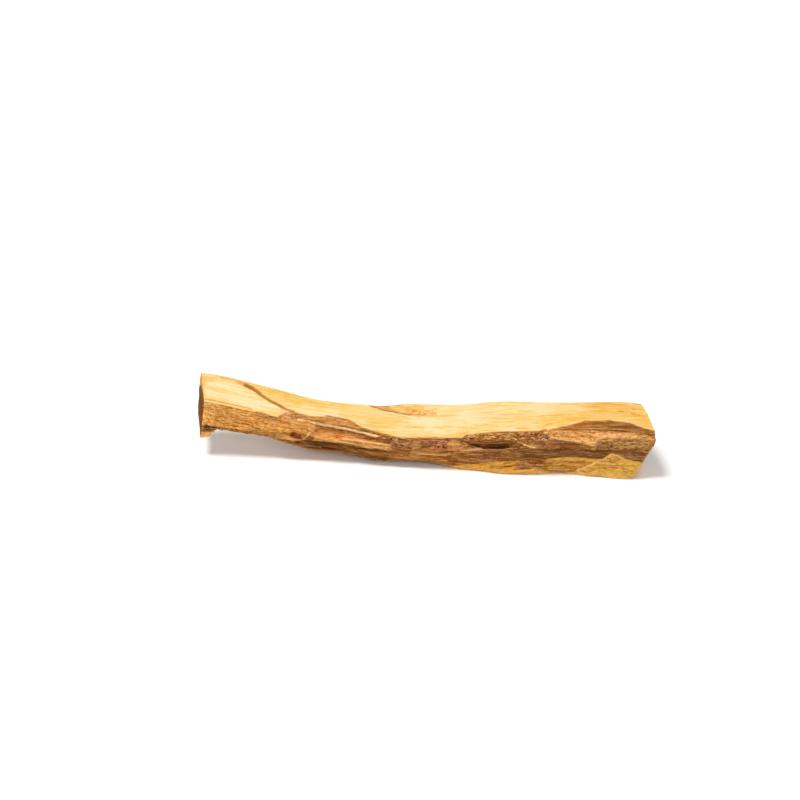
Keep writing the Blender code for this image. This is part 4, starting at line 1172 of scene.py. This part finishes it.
def sapwood(g, torn, fibre, hair, crumb):
    """Colour of the sapwood: yellow and pale streaks, fine grain, pores, and specks where it is torn."""
    colour = g.vector("sap")
    green = g.add("ShaderNodeSeparateColor", {"Color": colour}).outputs["Green"]
    plain = g.ramp(green, 0.26, 0.46)
    streak = g.times(plain, g.ramp(g.noise(24.0, 1.0, 3.0, 41.0), 0.51, 0.62))
    pale_streak = g.times(plain, g.ramp(g.noise(30.0, 0.7, 3.0, 61.0), 0.53, 0.63))
    colour = g.mix(g.times(streak, 0.6), colour, YELLOW)
    colour = g.mix(g.times(pale_streak, 0.35), colour, WHITISH)
    dark = g.mix(0.9, colour, SAP_SHADE, "MULTIPLY")
    light = g.mix(g.times(plain, 0.55, 0.10), colour, WHITISH)
    colour = g.tones(g.times(hair, 0.4, g.times(fibre, 0.6)), 0.12, dark, colour, light)
    pores = g.ramp(g.noise(1.6, 0.16, 2.0, 37.0), 0.64, 0.72)
    colour = g.mix(g.times(pores, 0.6), colour, g.shaded(colour, SAP_PORE))
    specks = g.times(g.ramp(crumb, 0.50, 0.60), g.ramp(torn, 0.10, 0.50))
    return g.mix(specks, colour, VEIN)


def heartwood(g, torn, fibre, hair, crumb):
    """Brown and golden wood: grain, chips and pits where torn; painted highlights and shade by relief."""
    colour = g.vector("heartwood")
    plain_tone = g.times(fibre, 0.6, g.times(hair, 0.4))
    rough_tone = g.times(crumb, 0.55, g.times(hair, 0.45))
    tone = g.add("ShaderNodeMix", {0: torn, 2: plain_tone, 3: rough_tone}).outputs[0]
    rough = g.ramp(torn, 0.60, 1.0)
    tone = g.times(g.math("SUBTRACT", tone, 0.5), g.times(rough, 0.6, 1.35), 0.506)
    dark = g.shaded(colour, HEART_SHADE)
    light = g.mix(0.50, colour, PALE_CHIP)
    grained = g.tones(tone, 0.10, dark, colour, light)
    colour = g.mix(g.times(torn, 0.65, 0.35), colour, grained)
    chips = g.times(g.ramp(g.noise(0.80, 0.34, 2.0, 71.0), 0.53, 0.60), rough)
    colour = g.mix(g.times(chips, 0.85), colour, g.mix(0.7, colour, BRIGHT_CHIP))
    pits = g.times(g.ramp(g.noise(1.10, 0.32, 2.0, 83.0), 0.58, 0.63), rough)
    colour = g.mix(g.times(pits, 0.8), colour, dark)
    # Painted highlights on raised relief and painted shade in sunk relief
    relief = g.attribute("relief")
    colour = g.mix(g.times(g.ramp(relief, 0.03, 0.18), 0.35), colour, light)
    sunk = g.ramp(g.times(relief, -1.0), 0.04, 0.20)
    return g.mix(g.times(sunk, 0.5), colour, dark)


def wood_material():
    """Pale sapwood, torn brown and golden heartwood, and end grain."""
    g = Graph("wood")
    torn = g.attribute("torn")
    fibre = g.noise(7.0, 0.42, 4.0)
    hair = g.noise(2.6, 0.15, 2.0, 13.0)
    crumb = g.noise(0.95, 0.40, 3.0, 19.0)
    wobble = g.times(g.math("SUBTRACT", g.noise(2.0, 0.3, 3.0, 23.0), 0.5), 0.4, g.attribute("heart"))
    in_heart = g.ramp(wobble, -0.06, 0.10)
    sides = g.mix(in_heart, sapwood(g, torn, fibre, hair, crumb), heartwood(g, torn, fibre, hair, crumb))
    surface = g.times(g.times(crumb, 0.8, g.times(hair, 0.6)), g.times(torn, 0.85, 0.15))
    bump = g.add("ShaderNodeBump", {"Height": surface, "Strength": 1.0, "Distance": 0.0004})
    g.dress(g.mix(g.attribute("end"), sides, end_grain(g, in_heart)), g.times(torn, 0.25, 0.65))
    g.plug(g.shader.inputs["Normal"], bump.outputs["Normal"])
    return g.material


def fibre_material():
    """Loose fibres, each in a tint of the wood that it stands on."""
    g = Graph("wood_fibre")
    tint = g.vector("tint")
    hair = g.noise(1.2, 0.12, 2.0, 13.0)
    colour = g.tones(hair, 0.12, g.shaded(tint, FIBRE_SHADE), tint, g.mix(0.2, tint, PALE_CHIP))
    g.dress(colour, g.times(hair, 0.2, 0.65))
    return g.material


def floor_material():
    material = bpy.data.materials.new("floor_white")
    material.use_nodes = True
    shader = material.node_tree.nodes["Principled BSDF"]
    shader.inputs["Base Color"].default_value = FLOOR_COLOUR
    shader.inputs["Roughness"].default_value = 0.9
    return material


def add_floor():
    mesh = bpy.data.meshes.new("floor")
    turns = [(-1, -1), (1, -1), (1, 1), (-1, 1)]
    mesh.from_pydata([(x * FLOOR_SIZE, y * FLOOR_SIZE, 0.0) for x, y in turns], [], [(0, 1, 2, 3)])
    mesh.materials.append(floor_material())
    floor = bpy.data.objects.new("floor", mesh)
    bpy.context.scene.collection.objects.link(floor)


def add_lights():
    """Square soft lights, all aimed at the stick."""
    for name, (place, size, power) in LIGHTS.items():
        data = bpy.data.lights.new(name, "AREA")
        data.size = size
        data.energy = power
        data.color = LIGHT_COLOUR
        light = bpy.data.objects.new(name, data)
        light.location = place
        light.rotation_euler = (-Vector(place)).to_track_quat("-Z", "Y").to_euler()
        bpy.context.scene.collection.objects.link(light)


def add_world():
    world = bpy.data.worlds.new("studio")
    world.use_nodes = True
    background = world.node_tree.nodes["Background"]
    background.inputs["Color"].default_value = (1.0, 1.0, 1.0, 1.0)
    background.inputs["Strength"].default_value = WORLD_STRENGTH
    bpy.context.scene.world = world


def add_camera():
    data = bpy.data.cameras.new("camera")
    data.lens = LENS
    data.sensor_width = SENSOR
    data.clip_start = 0.01
    camera = bpy.data.objects.new("camera", data)
    camera.location = Vector(np.array(LOOK_AT) - FORWARD * CAMERA_DISTANCE) * MM
    camera.rotation_euler = Vector(FORWARD).to_track_quat("-Z", "Y").to_euler()
    bpy.context.scene.collection.objects.link(camera)
    bpy.context.scene.camera = camera


grid, values = wood_skin()
add_skin(grid, values)
add_fibres(grid, values)

add_floor()
add_world()
add_lights()
add_camera()
bpy.context.scene.view_settings.view_transform = "Standard"
